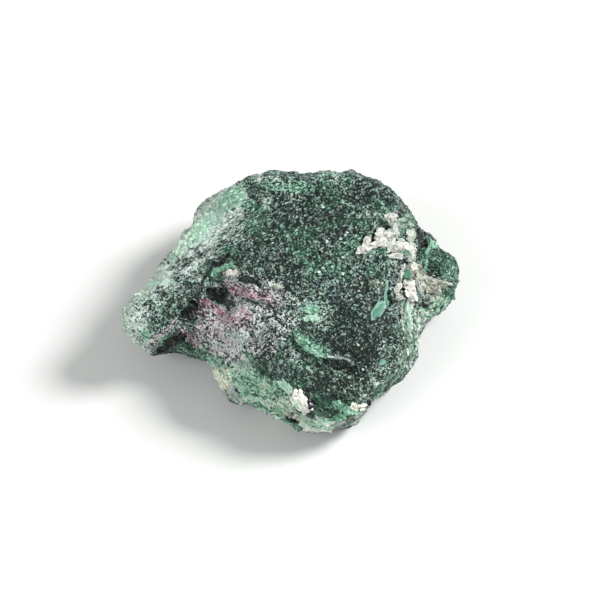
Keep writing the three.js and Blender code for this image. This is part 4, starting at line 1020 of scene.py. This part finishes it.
def carved_stone():
    """The whole stone's surface: the solid's own shape, smoothed, then broken, stepped and pitted."""
    shape = bmesh.new()
    shape.from_mesh(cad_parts["stone"].data)
    bmesh.ops.remove_doubles(shape, verts=shape.verts, dist=0.01 * MM)
    for layer in list(shape.loops.layers.uv.values()):
        shape.loops.layers.uv.remove(layer)
    piece = new_object("stone_surface", mesh_of(shape, "stone_surface"))
    lay_map(piece)
    baked_with(piece, "smooth", "SUBSURF", levels=CARVE_LEVELS, render_levels=CARVE_LEVELS)
    points, normals = read_points(piece.data)
    carved = points + relief(points, normals, mineral_cover(points, normals))[:, None] * normals
    carved[:, 2] = np.maximum(carved[:, 2], 0.0)
    piece.data.vertices.foreach_set("co", (carved * MM).ravel())
    piece.data.update()
    faces = sum(len(face.vertices) - 2 for face in piece.data.polygons)
    ratio = SURFACE_TRIANGLES / faces
    baked_with(piece, "thin", "DECIMATE", ratio=ratio, use_collapse_triangulate=True)
    for name, values in mineral_cover(*read_points(piece.data)).items():
        store(piece.data, name, "FLOAT", "value", values)
    points, _ = read_points(piece.data)
    store(piece.data, "fabric", "FLOAT_VECTOR", "vector", fabric(strayed(points, seen(points))))
    piece.data.shade_smooth()
    return piece


# Flakes and grains


class Ground:
    """The carved surface, to set small things down on."""

    def __init__(self, piece):
        piece.data.calc_loop_triangles()
        self.points, self.normals = read_points(piece.data)
        corners = np.empty(len(piece.data.loop_triangles) * 3, dtype=np.int32)
        piece.data.loop_triangles.foreach_get("vertices", corners)
        self.triangles = corners.reshape(-1, 3)
        self.tree = BVHTree.FromPolygons(self.points.tolist(), self.triangles.tolist())
        self.cover = {}
        for name in ("pale", "haze", "moss", "salt", "ruby", "blush", "fuchsite", "mica", "buff", "shade"):
            values = np.empty(len(self.points), dtype=np.float32)
            piece.data.attributes[name].data.foreach_get("value", values)
            self.cover[name] = values

    def under(self, across, up):
        """The place on the surface that the eye sees there, and the surface's direction, or None."""
        eye = MIDDLE - AHEAD * EYE_DISTANCE
        aim = MIDDLE + RIGHTWARD * across + UPWARD * up
        place, direction, _, _ = self.tree.ray_cast(Vector(eye), Vector(unit(aim - eye)))
        return None if place is None else (np.array(place), np.array(direction))


def points_and_faces(shape):
    """A finished bmesh's points, and its faces as lists of point numbers."""
    points = np.array([vert.co[:] for vert in shape.verts])
    faces = [[vert.index for vert in face.verts] for face in shape.faces]
    shape.free()
    return points, faces


def ragged_flake(seed, raggedness=1.0):
    """A thin flake with a notched outline, 2 across and lying flat, waved and given a thickness."""
    shape = bmesh.new()
    bmesh.ops.create_circle(shape, cap_ends=True, cap_tris=True, segments=FLAKE_CORNERS, radius=1)
    for vert in shape.verts:
        turn = math.atan2(vert.co.y, vert.co.x)
        around = Vector((math.cos(turn), math.sin(turn), seed * 3.3))
        vert.co *= 1 + raggedness * (0.45 * noise.noise(around * 1.1) + 0.25 * noise.noise(around * 3.5))
        vert.co.z = FLAKE_WAVE * noise.noise(vert.co * 1.4 + Vector((0, 0, seed * 5.1)))
    bmesh.ops.solidify(shape, geom=shape.faces[:], thickness=FLAKE_THICKNESS)
    bmesh.ops.recalc_face_normals(shape, faces=shape.faces[:])
    return points_and_faces(shape)


def grain_shape():
    """One grain: a low four-sided point, 2 long and 2 wide, standing on its base."""
    shape = bmesh.new()
    bmesh.ops.create_cone(shape, cap_ends=True, segments=4, radius1=1, radius2=0, depth=1)
    return points_and_faces(shape)


def set_down(shape, centres, facings, headings, sizes):
    """Copies of one shape, each scaled, turned to its facing and heading, and moved to its centre."""
    points, faces = shape
    side = unit(np.cross(facings, headings))
    ahead = np.cross(side, facings)
    turned = np.stack([ahead, side, facings], axis=1) * sizes[:, :, None]
    placed = np.einsum("vk,nkx->nvx", points, turned) + centres[:, None, :]
    starts = range(0, len(centres) * len(points), len(points))
    return placed.reshape(-1, 3), [[start + corner for corner in face] for start in starts for face in faces]


def joined(name, parts):
    """One piece of many small ones. Each part has its points in mm, its faces and its points' colours."""
    all_points, all_faces, all_tints, start = [], [], [], 0
    for points, faces, tints in parts:
        all_points.append(points)
        all_faces.extend([corner + start for corner in face] for face in faces)
        all_tints.append(tints)
        start += len(points)
    mesh = bpy.data.meshes.new(name)
    mesh.from_pydata((np.concatenate(all_points) * MM).tolist(), [], all_faces)
    store(mesh, "tint", "FLOAT_COLOR", "color", np.concatenate(all_tints))
    mesh.shade_flat()
    return new_object(name, mesh)


def tinted(palette, shares):
    """Colours along a palette that runs from dark to pale, one for each share."""
    steps = np.linspace(0, 1, len(palette))
    return np.stack([np.interp(shares, steps, channel) for channel in zip(*palette)], axis=1)


def along_line(line, share):
    """The place at that share of a line's length, and the line's direction there."""
    points = np.array(line)
    lengths = np.linalg.norm(np.diff(points, axis=0), axis=1)
    run = share * lengths.sum()
    for start, end, length in zip(points[:-1], points[1:], lengths):
        if run <= length or end is points[-1]:
            break
        run -= length
    return start + (end - start) * min(run / length, 1.0), (end - start) / length


def lay_flake(place, facing, heading, half_length, half_width, shape, tint):
    """One flake's points, faces and colours, at that place in mm, facing that way, its long side that way."""
    along = RIGHTWARD * math.cos(heading) + UPWARD * math.sin(heading)
    size = np.array([half_length, half_width, HEIGHT_BASE + HEIGHT_GROWTH * half_length])
    points, faces = set_down(shape, place[None], facing[None], along[None], size[None])
    points[:, 2] = np.maximum(points[:, 2], FLAKE_FOOT)
    return points, faces, np.repeat(tint, len(points), axis=0)


def bedded_flakes(ground, beds, seed, shapes, turned_to=None, lift=FLAKE_LIFT):
    """The flakes of some beds, each on the stone where the eye sees it: lying there, or turned to one way."""
    rng = np.random.default_rng(seed)
    parts = []
    for bed in beds:
        for _ in range(bed.count):
            spot, heading = along_line(bed.line, rng.random())
            spot = spot + np.array([-heading[1], heading[0]]) * rng.uniform(-bed.half_width, bed.half_width)
            turn = math.atan2(heading[1], heading[0]) + rng.normal(0, HEADING_STRAY)
            half_length = rng.uniform(*bed.half_lengths)
            stray = rng.normal(0, bed.tilt, 3)
            shape = shapes[rng.integers(len(shapes))]
            tint = tinted(bed.palette, rng.random(1))
            found = ground.under(*spot)
            if found is None or covered(spot[None], SHADED_CLEFTS, SHARP_EDGE)[0] > 0.5:
                continue
            place, direction = found
            lying = direction * (1 - bed.layered) + LAYER_AXIS * bed.layered
            facing = unit((lying if turned_to is None else turned_to) + stray)
            parts.append(lay_flake(
                place + direction * lift, facing, turn, half_length, half_length / bed.stretch, shape, tint,
            ))
    return parts


def mica_flakes(ground):
    """All the beds of mica flakes, and the single ones."""
    shapes = [ragged_flake(seed) for seed in range(9)]
    parts = bedded_flakes(ground, FLAKE_BEDS, FLAKE_SEED, shapes)
    rng = np.random.default_rng(SINGLE_SEED)
    for layer, (spot, half_length, half_width, degrees, palette) in enumerate([*SINGLE_FLAKES, LEAF_HEART]):
        place, direction = ground.under(*spot)
        lift = FLAKE_LIFT + (HEART_LIFT if layer == len(SINGLE_FLAKES) else 0.0)
        parts.append(lay_flake(
            place + direction * lift, direction, math.radians(degrees), half_length, half_width,
            shapes[layer % len(shapes)], tinted(palette, rng.random(1)),
        ))
    return joined("mica_flakes", parts)


def glint_faces(ground):
    """The bright mica faces at the front, turned so that they mirror the lamp into the camera, with
    near-white colours that partly paint the highlight.
    """
    shapes = [ragged_flake(seed, 0.6) for seed in range(20, 24)]
    mirror = unit(towards(KEY_HEADING, KEY_ELEVATION) - AHEAD)
    parts = bedded_flakes(ground, GLINT_BEDS, GLINT_SEED, shapes, mirror, GLINT_LIFT)
    parts += bedded_flakes(ground, DUSKY_BEDS, DUSKY_SEED, shapes, None, 2 * GLINT_LIFT)
    return joined("mica_glints", parts)


def grain_headings(rng, centres):
    """The direction of each grain's long side: along the fabric where there is one, elsewhere any way."""
    spots = seen(centres)
    turns = rng.uniform(0, math.pi, GRAIN_COUNT)
    for line, reach, degrees in FABRIC:
        inside = distance_to_line(spots, line) < reach
        turns[inside] = rng.normal(math.radians(degrees), FABRIC_STRAY, inside.sum())
    return np.cos(turns)[:, None] * RIGHTWARD + np.sin(turns)[:, None] * UPWARD


def grain_sizes(rng):
    """Each grain's half length, half width and height, in mm."""
    half_length = LEAST_HALF_LENGTH + HALF_LENGTH_SPREAD * rng.gamma(2.0, 0.6, GRAIN_COUNT)
    half_width = rng.uniform(*GRAIN_HALF_WIDTHS, GRAIN_COUNT)
    height = rng.uniform(*GRAIN_HEIGHTS, GRAIN_COUNT)
    return np.stack([half_length, half_width, height], axis=1)


def grain_tints(rng, cover):
    """Each grain's colour, by how much each mineral and the painted shade of the hollows show where it lies.
    """
    tones = 0.5 + (rng.random(GRAIN_COUNT) - 0.5) * (1 - HAZE_GRAIN_CALM * cover["haze"])
    tints = tinted((SCHIST_DARK, SCHIST_PALE), tones)
    sugary = rng.random(GRAIN_COUNT) < smooth_step(0.3, 0.5, cover["pale"])
    tints[sugary] = tinted((SUGAR_DARK, SUGAR_PALE), tones[sugary])
    for name, share, palette in (
        ("moss", 0.7, (MOSS_DARK, MOSS_PALE)),
        ("fuchsite", 0.7, (FUCHSITE_DARK, FUCHSITE_PALE)),
        ("salt", 0.9, (SALT_DARK, SALT_PALE)),
        ("blush", 0.7, (BLUSH_DARK, BLUSH_PALE)),
        ("ruby", 0.6, (RUBY_DARK, RUBY_PALE)),
        ("buff", 0.8, (BUFF_DARK, BUFF_PALE)),
        ("shade", 0.9, (SHADE_DARK, SHADE_PALE)),
    ):
        picked = rng.random(GRAIN_COUNT) < share * cover[name]
        tints[picked] = tinted(palette, tones[picked])
    return tints


def mineral_grains(ground):
    """Thousands of small pointed grains over the whole stone, coloured by the mineral that they lie in."""
    rng = np.random.default_rng(GRAIN_SEED)
    corners = ground.points[ground.triangles]
    middles = corners.mean(axis=1)
    cross = np.cross(corners[:, 1] - corners[:, 0], corners[:, 2] - corners[:, 0])
    areas = np.linalg.norm(cross, axis=1)
    cover = {name: values[ground.triangles].mean(axis=1) for name, values in ground.cover.items()}
    wanted = 0.35 + 1.6 * np.clip(cover["pale"], 0, 1) + 0.8 * cover["ruby"]
    wanted -= 1.2 * cover["mica"] + 0.5 * cover["shade"]
    weights = areas * np.clip(wanted, 0.05, None) * smooth_step(0.3, 1.5, middles[:, 2])
    chosen = rng.choice(len(middles), size=GRAIN_COUNT, p=weights / weights.sum())
    shares = rng.dirichlet((1, 1, 1), size=GRAIN_COUNT)
    centres = np.einsum("nk,nkx->nx", shares, corners[chosen])
    facings = unit(unit(cross[chosen]) + rng.normal(0, GRAIN_TILT, (GRAIN_COUNT, 3)))
    headings = grain_headings(rng, centres)
    sizes = grain_sizes(rng)
    tints = grain_tints(rng, {name: values[chosen] for name, values in cover.items()})
    # Painted sparkle: a few grains, made larger, take the palest colour
    sparks = rng.random(GRAIN_COUNT) < SPARK_SHARE
    tints[sparks] = SUGAR_PALE
    sizes[sparks] *= SPARK_GROWTH
    points, faces = set_down(grain_shape(), centres, facings, headings, sizes)
    per_grain = len(points) // GRAIN_COUNT
    return joined("mineral_grains", [(points, faces, np.repeat(tints, per_grain, axis=0))])


# Shader building


def feed(tree, node, inputs):
    """Links or sets a node's inputs, by name or number."""
    for socket, value in inputs.items():
        if isinstance(value, bpy.types.NodeSocket):
            tree.links.new(value, node.inputs[socket])
        else:
            node.inputs[socket].default_value = value
    return node


def place_node(tree, kind, inputs=None, **settings):
    """A new node with its settings and inputs."""
    made = tree.nodes.new(kind)
    for setting, value in settings.items():
        setattr(made, setting, value)
    return feed(tree, made, inputs or {})


def maths(tree, operation, first, second=0.0):
    """The value of one sum on two values."""
    return place_node(tree, "ShaderNodeMath", {0: first, 1: second}, operation=operation).outputs[0]


def vectors(tree, operation, first, second):
    """The vector of one sum on two vectors, or on a vector and a scale."""
    inputs = {0: first, "Scale" if operation == "SCALE" else 1: second}
    return place_node(tree, "ShaderNodeVectorMath", inputs, operation=operation).outputs[0]


def mixed(tree, share, first, second):
    """Two colours mixed."""
    node = place_node(tree, "ShaderNodeMix", data_type="RGBA")
    return feed(tree, node, {0: share, 6: first, 7: second}).outputs[2]


def ramp(tree, value, low, high):
    """0 where the value is below low, 1 where it is above high, smooth between."""
    inputs = {"Value": value, "From Min": low, "From Max": high}
    return place_node(tree, "ShaderNodeMapRange", inputs, interpolation_type="SMOOTHSTEP").outputs[0]


def cloudy(tree, position, per_metre, detail=2.0):
    """A smooth random value about 0.5 that changes over the surface."""
    inputs = {"Vector": position, "Scale": per_metre, "Detail": detail}
    return place_node(tree, "ShaderNodeTexNoise", inputs).outputs["Fac"]


def new_group(name, inputs, outputs):
    """An empty shader node group with its named sockets: the group, its input node and its output node."""
    group = bpy.data.node_groups.new(name, "ShaderNodeTree")
    for socket, kind in inputs.items():
        group.interface.new_socket(name=socket, in_out="INPUT", socket_type="NodeSocket" + kind)
    for socket, kind in outputs.items():
        group.interface.new_socket(name=socket, in_out="OUTPUT", socket_type="NodeSocket" + kind)
    return group, group.nodes.new("NodeGroupInput"), group.nodes.new("NodeGroupOutput")


def mineral_grain_group():
    """Small grains packed side by side, each with its own random tone, hue and tilt, and drawn out along a
    direction where there is one."""
    group, given, result = new_group(
        "mineral grains",
        {"Position": "Vector", "Direction": "Vector", "Grains per metre": "Float", "Waviness": "Float"},
        {"Tone": "Float", "Hue": "Float", "Tilt": "Color"},
    )
    position, direction = given.outputs["Position"], given.outputs["Direction"]
    node = place_node(group, "ShaderNodeVectorMath", {0: position, 1: direction}, operation="DOT_PRODUCT")
    along = maths(group, "MULTIPLY", node.outputs["Value"], GRAIN_STRETCH)
    shortened = vectors(group, "SUBTRACT", position, vectors(group, "SCALE", direction, along))
    length = place_node(group, "ShaderNodeVectorMath", {0: direction}, operation="LENGTH").outputs["Value"]
    finer = maths(group, "ADD", 1.0, maths(group, "MULTIPLY", length, GRAIN_SHRINK))
    drawn = vectors(group, "SCALE", shortened, finer)
    bend = place_node(group, "ShaderNodeTexNoise", {"Vector": drawn, "Scale": 1400.0}).outputs["Color"]
    bend = vectors(group, "SUBTRACT", bend, (0.5, 0.5, 0.5))
    bent = vectors(group, "ADD", drawn, vectors(group, "SCALE", bend, given.outputs["Waviness"]))
    cells = place_node(
        group, "ShaderNodeTexVoronoi",
        {"Vector": bent, "Scale": given.outputs["Grains per metre"]}, feature="F1",
    )
    parts = place_node(group, "ShaderNodeSeparateColor", {"Color": cells.outputs["Color"]})
    feed(group, result, {"Tone": parts.outputs[0], "Hue": parts.outputs[1], "Tilt": cells.outputs["Color"]})
    return group


def ragged_cover_group():
    """Turns a soft cover into a patch with a ragged, grainy edge."""
    group, given, result = new_group(
        "ragged cover", {"Cover": "Float", "Position": "Vector", "Raggedness": "Float"}, {"Mask": "Float"},
    )
    stray = maths(group, "SUBTRACT", cloudy(group, given.outputs["Position"], 3000.0, 3.0), 0.5)
    moved = maths(group, "MULTIPLY", stray, given.outputs["Raggedness"])
    total = maths(group, "ADD", given.outputs["Cover"], moved)
    feed(group, result, {"Mask": ramp(group, total, 0.3, 0.7)})
    return group


def glitter_group():
    """Tilts the surface grain by grain, as mica flakes that catch the light one by one."""
    inputs = {"Tilt": "Color", "Amount": "Float"}
    group, given, result = new_group("mica glitter", inputs, {"Normal": "Vector"})
    tilt = vectors(group, "SUBTRACT", given.outputs["Tilt"], (0.5, 0.5, 0.5))
    facing = place_node(group, "ShaderNodeNewGeometry").outputs["Normal"]
    tilted = vectors(group, "ADD", facing, vectors(group, "SCALE", tilt, given.outputs["Amount"]))
    unit_long = place_node(group, "ShaderNodeVectorMath", {0: tilted}, operation="NORMALIZE").outputs[0]
    feed(group, result, {"Normal": unit_long})
    return group


GRAINS = mineral_grain_group()
RAGGED = ragged_cover_group()
GLITTER = glitter_group()


def group_node(tree, group, inputs):
    """A node that uses one of the groups."""
    made = tree.nodes.new("ShaderNodeGroup")
    made.node_tree = group
    return feed(tree, made, inputs)


def new_material(name):
    """An empty node material. Gives the material, its tree and its shader."""
    material = bpy.data.materials.new(name)
    material.use_nodes = True
    tree = material.node_tree
    return material, tree, tree.nodes["Principled BSDF"]


def cover_of(tree, name):
    """A mineral's cover as the mesh holds it."""
    return place_node(tree, "ShaderNodeAttribute", attribute_name=name).outputs["Fac"]


def speckle(tree, fine, coarse, clouds):
    """How pale each grain is, with more contrast in the peppered beds and less in the hazy ones."""
    tone = maths(tree, "MULTIPLY", fine.outputs["Tone"], FINE_SHARE)
    tone = maths(tree, "ADD", tone, maths(tree, "MULTIPLY", coarse.outputs["Tone"], COARSE_SHARE))
    tone = maths(tree, "ADD", tone, maths(tree, "MULTIPLY", clouds, CLOUD_SHARE))
    peppered = maths(tree, "MAXIMUM", cover_of(tree, "salt"), cover_of(tree, "blush"))
    contrast = maths(tree, "ADD", 1.0, maths(tree, "MULTIPLY", peppered, PEPPER_CONTRAST))
    contrast = maths(tree, "SUBTRACT", contrast, maths(tree, "MULTIPLY", cover_of(tree, "haze"), HAZE_CALM))
    tone = maths(tree, "MULTIPLY", maths(tree, "SUBTRACT", tone, 0.5), contrast)
    return maths(tree, "ADD", tone, cover_of(tree, "pale"))


def schist_colours(tree, position, sugary):
    """The dark and the pale colour of the schist's grains, in places browner, greyer or sugary."""
    cast = cloudy(tree, position, 620.0)
    umber = maths(tree, "MULTIPLY", ramp(tree, cast, 0.53, 0.64), UMBER_SHARE)
    slate = maths(tree, "MULTIPLY", ramp(tree, cast, 0.47, 0.37), SLATE_SHARE)
    dark = mixed(tree, slate, mixed(tree, umber, SCHIST_DARK, UMBER_DARK), SLATE_DARK)
    pale = mixed(tree, slate, mixed(tree, umber, SCHIST_PALE, UMBER_PALE), SLATE_PALE)
    return mixed(tree, sugary, dark, SUGAR_DARK), mixed(tree, sugary, pale, SUGAR_PALE)


def with_minerals(tree, position, hue, dark, pale):
    """The two colours with the minerals laid over them, each in some of the grains inside its patches, and
    last the painted shade of the hollows.
    """
    for name, raggedness, grain_share, mineral_dark, mineral_pale in (
        ("moss", 0.9, 0.75, MOSS_DARK, MOSS_PALE),
        ("salt", 0.8, 1.0, SALT_DARK, SALT_PALE),
        ("blush", 0.8, 0.8, BLUSH_DARK, BLUSH_PALE),
        ("ruby", 0.9, 0.6, RUBY_DARK, RUBY_PALE),
        ("fuchsite", 1.0, 0.75, FUCHSITE_DARK, FUCHSITE_PALE),
        ("buff", 0.9, 0.9, BUFF_DARK, BUFF_PALE),
        ("mica", 0.7, 1.0, MICA_DARK, MICA_PALE),
        ("shade", 0.6, 1.0, SHADE_DARK, SHADE_PALE),
    ):
        inputs = {"Cover": cover_of(tree, name), "Position": position, "Raggedness": raggedness}
        patch = group_node(tree, RAGGED, inputs).outputs["Mask"]
        chosen = ramp(tree, hue, grain_share + CHOICE_EDGE, grain_share - CHOICE_EDGE)
        mask = maths(tree, "MULTIPLY", patch, chosen)
        dark = mixed(tree, mask, dark, mineral_dark)
        pale = mixed(tree, mask, pale, mineral_pale)
    return dark, pale


def roughen(tree, shader, position, fine):
    """Each grain's own roughness, its glitter, and the small bumps between the grains."""
    low, high = SCHIST_ROUGHNESS
    roughness = place_node(
        tree, "ShaderNodeMapRange", {"Value": fine.outputs["Hue"], "To Min": low, "To Max": high},
    ).outputs[0]
    tree.links.new(roughness, shader.inputs["Roughness"])
    glitter = group_node(tree, GLITTER, {"Tilt": fine.outputs["Tilt"], "Amount": GLITTER_AMOUNT})
    height = maths(tree, "ADD", fine.outputs["Tone"], cloudy(tree, position, 5200.0, 2.0))
    bump = place_node(
        tree, "ShaderNodeBump",
        {"Strength": 0.6, "Distance": 0.00006, "Height": height, "Normal": glitter.outputs["Normal"]},
    )
    tree.links.new(bump.outputs["Normal"], shader.inputs["Normal"])


def schist_material():
    """Grains of dark green schist, with ruby, fuchsite, mica and the other minerals where the mesh says, and
    painted shade in its hollows.
    """
    material, tree, shader = new_material("fuchsite_schist")
    position = place_node(tree, "ShaderNodeTexCoord").outputs["Object"]
    direction = place_node(tree, "ShaderNodeAttribute", attribute_name="fabric").outputs["Vector"]
    place = {"Position": position, "Direction": direction}
    fine_inputs = {**place, "Grains per metre": FINE_GRAINS, "Waviness": FINE_WAVINESS}
    coarse_inputs = {**place, "Grains per metre": COARSE_GRAINS, "Waviness": COARSE_WAVINESS}
    fine = group_node(tree, GRAINS, fine_inputs)
    coarse = group_node(tree, GRAINS, coarse_inputs)
    level = speckle(tree, fine, coarse, cloudy(tree, position, 450.0, 3.0))
    sugary = ramp(tree, cover_of(tree, "pale"), 0.36, 0.56)
    share = ramp(
        tree, level,
        maths(tree, "ADD", DARK_LEVEL, maths(tree, "MULTIPLY", sugary, DARK_LEVEL_MOVE)),
        maths(tree, "ADD", PALE_LEVEL, maths(tree, "MULTIPLY", sugary, PALE_LEVEL_MOVE)),
    )
    dark, pale = schist_colours(tree, position, sugary)
    dark, pale = with_minerals(tree, position, fine.outputs["Hue"], dark, pale)
    tree.links.new(mixed(tree, share, dark, pale), shader.inputs["Base Color"])
    shader.inputs["Specular IOR Level"].default_value = SCHIST_SPECULAR
    roughen(tree, shader, position, fine)
    return material


def flake_material(name, roughness):
    """Mica in its own tints: each flake's colour, with fine wear on it, and a shine."""
    material, tree, shader = new_material(name)
    position = place_node(tree, "ShaderNodeTexCoord").outputs["Object"]
    tint = place_node(tree, "ShaderNodeAttribute", attribute_name="tint").outputs["Color"]
    wear = cloudy(tree, position, 2600.0, 4.0)
    worn = mixed(tree, ramp(tree, wear, 0.5, 0.75), tint, SCHIST_DARK)
    share = maths(tree, "MULTIPLY", ramp(tree, wear, 0.48, 0.7), 0.35)
    tree.links.new(mixed(tree, share, tint, worn), shader.inputs["Base Color"])
    shader.inputs["Roughness"].default_value = roughness
    bump = place_node(tree, "ShaderNodeBump", {"Strength": 0.4, "Distance": 0.00004, "Height": wear})
    tree.links.new(bump.outputs["Normal"], shader.inputs["Normal"])
    return material


def white_floor_material():
    """Plain matt white."""
    material, _, shader = new_material("white_floor")
    shader.inputs["Base Color"].default_value = FLOOR_WHITE
    shader.inputs["Roughness"].default_value = 0.9
    shader.inputs["Specular IOR Level"].default_value = 0.1
    return material


def set_camera():
    """The camera where the photograph was taken from, aimed so that the stone sits as far off centre."""
    camera = bpy.data.cameras.new("camera")
    camera.sensor_width = SENSOR_WIDTH
    camera.lens = SENSOR_WIDTH * EYE_DISTANCE / VIEW_WIDTH
    camera.clip_start = 0.01
    holder = new_object("camera", camera)
    aim = MIDDLE + RIGHTWARD * AXIS_OFFSET[0] + UPWARD * AXIS_OFFSET[1]
    holder.location = (aim - AHEAD * EYE_DISTANCE) * MM
    holder.rotation_euler = (math.pi / 2 - EYE_ELEVATION, 0, 0)
    bpy.context.scene.camera = holder


def lay_floor():
    """A wide white floor at the level that the stone lies on."""
    shape = bmesh.new()
    bmesh.ops.create_grid(shape, x_segments=1, y_segments=1, size=FLOOR_SIZE / 2)
    floor = new_object("floor", mesh_of(shape, "floor"))
    floor.data.materials.append(white_floor_material())


def towards(heading, elevation):
    """The direction with that heading and elevation, one long."""
    flat = math.cos(elevation)
    return np.array([flat * math.cos(heading), flat * math.sin(heading), math.sin(elevation)])


def hang_lamp(name, heading, elevation, distance, size, power):
    """A round soft lamp that faces the stone."""
    lamp = bpy.data.lights.new(name, "AREA")
    lamp.shape = "DISK"
    lamp.size = size
    lamp.energy = power
    holder = new_object(name, lamp)
    direction = Vector(towards(heading, elevation))
    holder.location = direction * distance
    holder.rotation_euler = direction.to_track_quat("Z", "Y").to_euler()


def set_light():
    """A soft main lamp from the right, a wider weak one from the front left, and an even pale sky."""
    hang_lamp("key", KEY_HEADING, KEY_ELEVATION, KEY_DISTANCE, KEY_SIZE, KEY_POWER)
    hang_lamp("fill", FILL_HEADING, FILL_ELEVATION, FILL_DISTANCE, FILL_SIZE, FILL_POWER)
    world = bpy.data.worlds.new("sky")
    world.use_nodes = True
    sky = world.node_tree.nodes["Background"]
    sky.inputs["Color"].default_value = SKY_COLOUR
    sky.inputs["Strength"].default_value = SKY_STRENGTH
    bpy.context.scene.world = world
    bpy.context.scene.view_settings.view_transform = "Standard"


set_camera()
lay_floor()
set_light()

surface = carved_stone()
ground = Ground(surface)
surface.data.materials.clear()
surface.data.materials.append(schist_material())
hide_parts("stone")

flakes = mica_flakes(ground)
flakes.data.materials.append(flake_material("mica_flake", MICA_ROUGHNESS))
glints = glint_faces(ground)
glints.data.materials.append(flake_material("mica_glint", GLINT_ROUGHNESS))
grains = mineral_grains(ground)
grains.data.materials.append(flake_material("mineral_grain", GRAIN_ROUGHNESS))

for piece in (surface, flakes, glints, grains):
    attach(piece, "root")
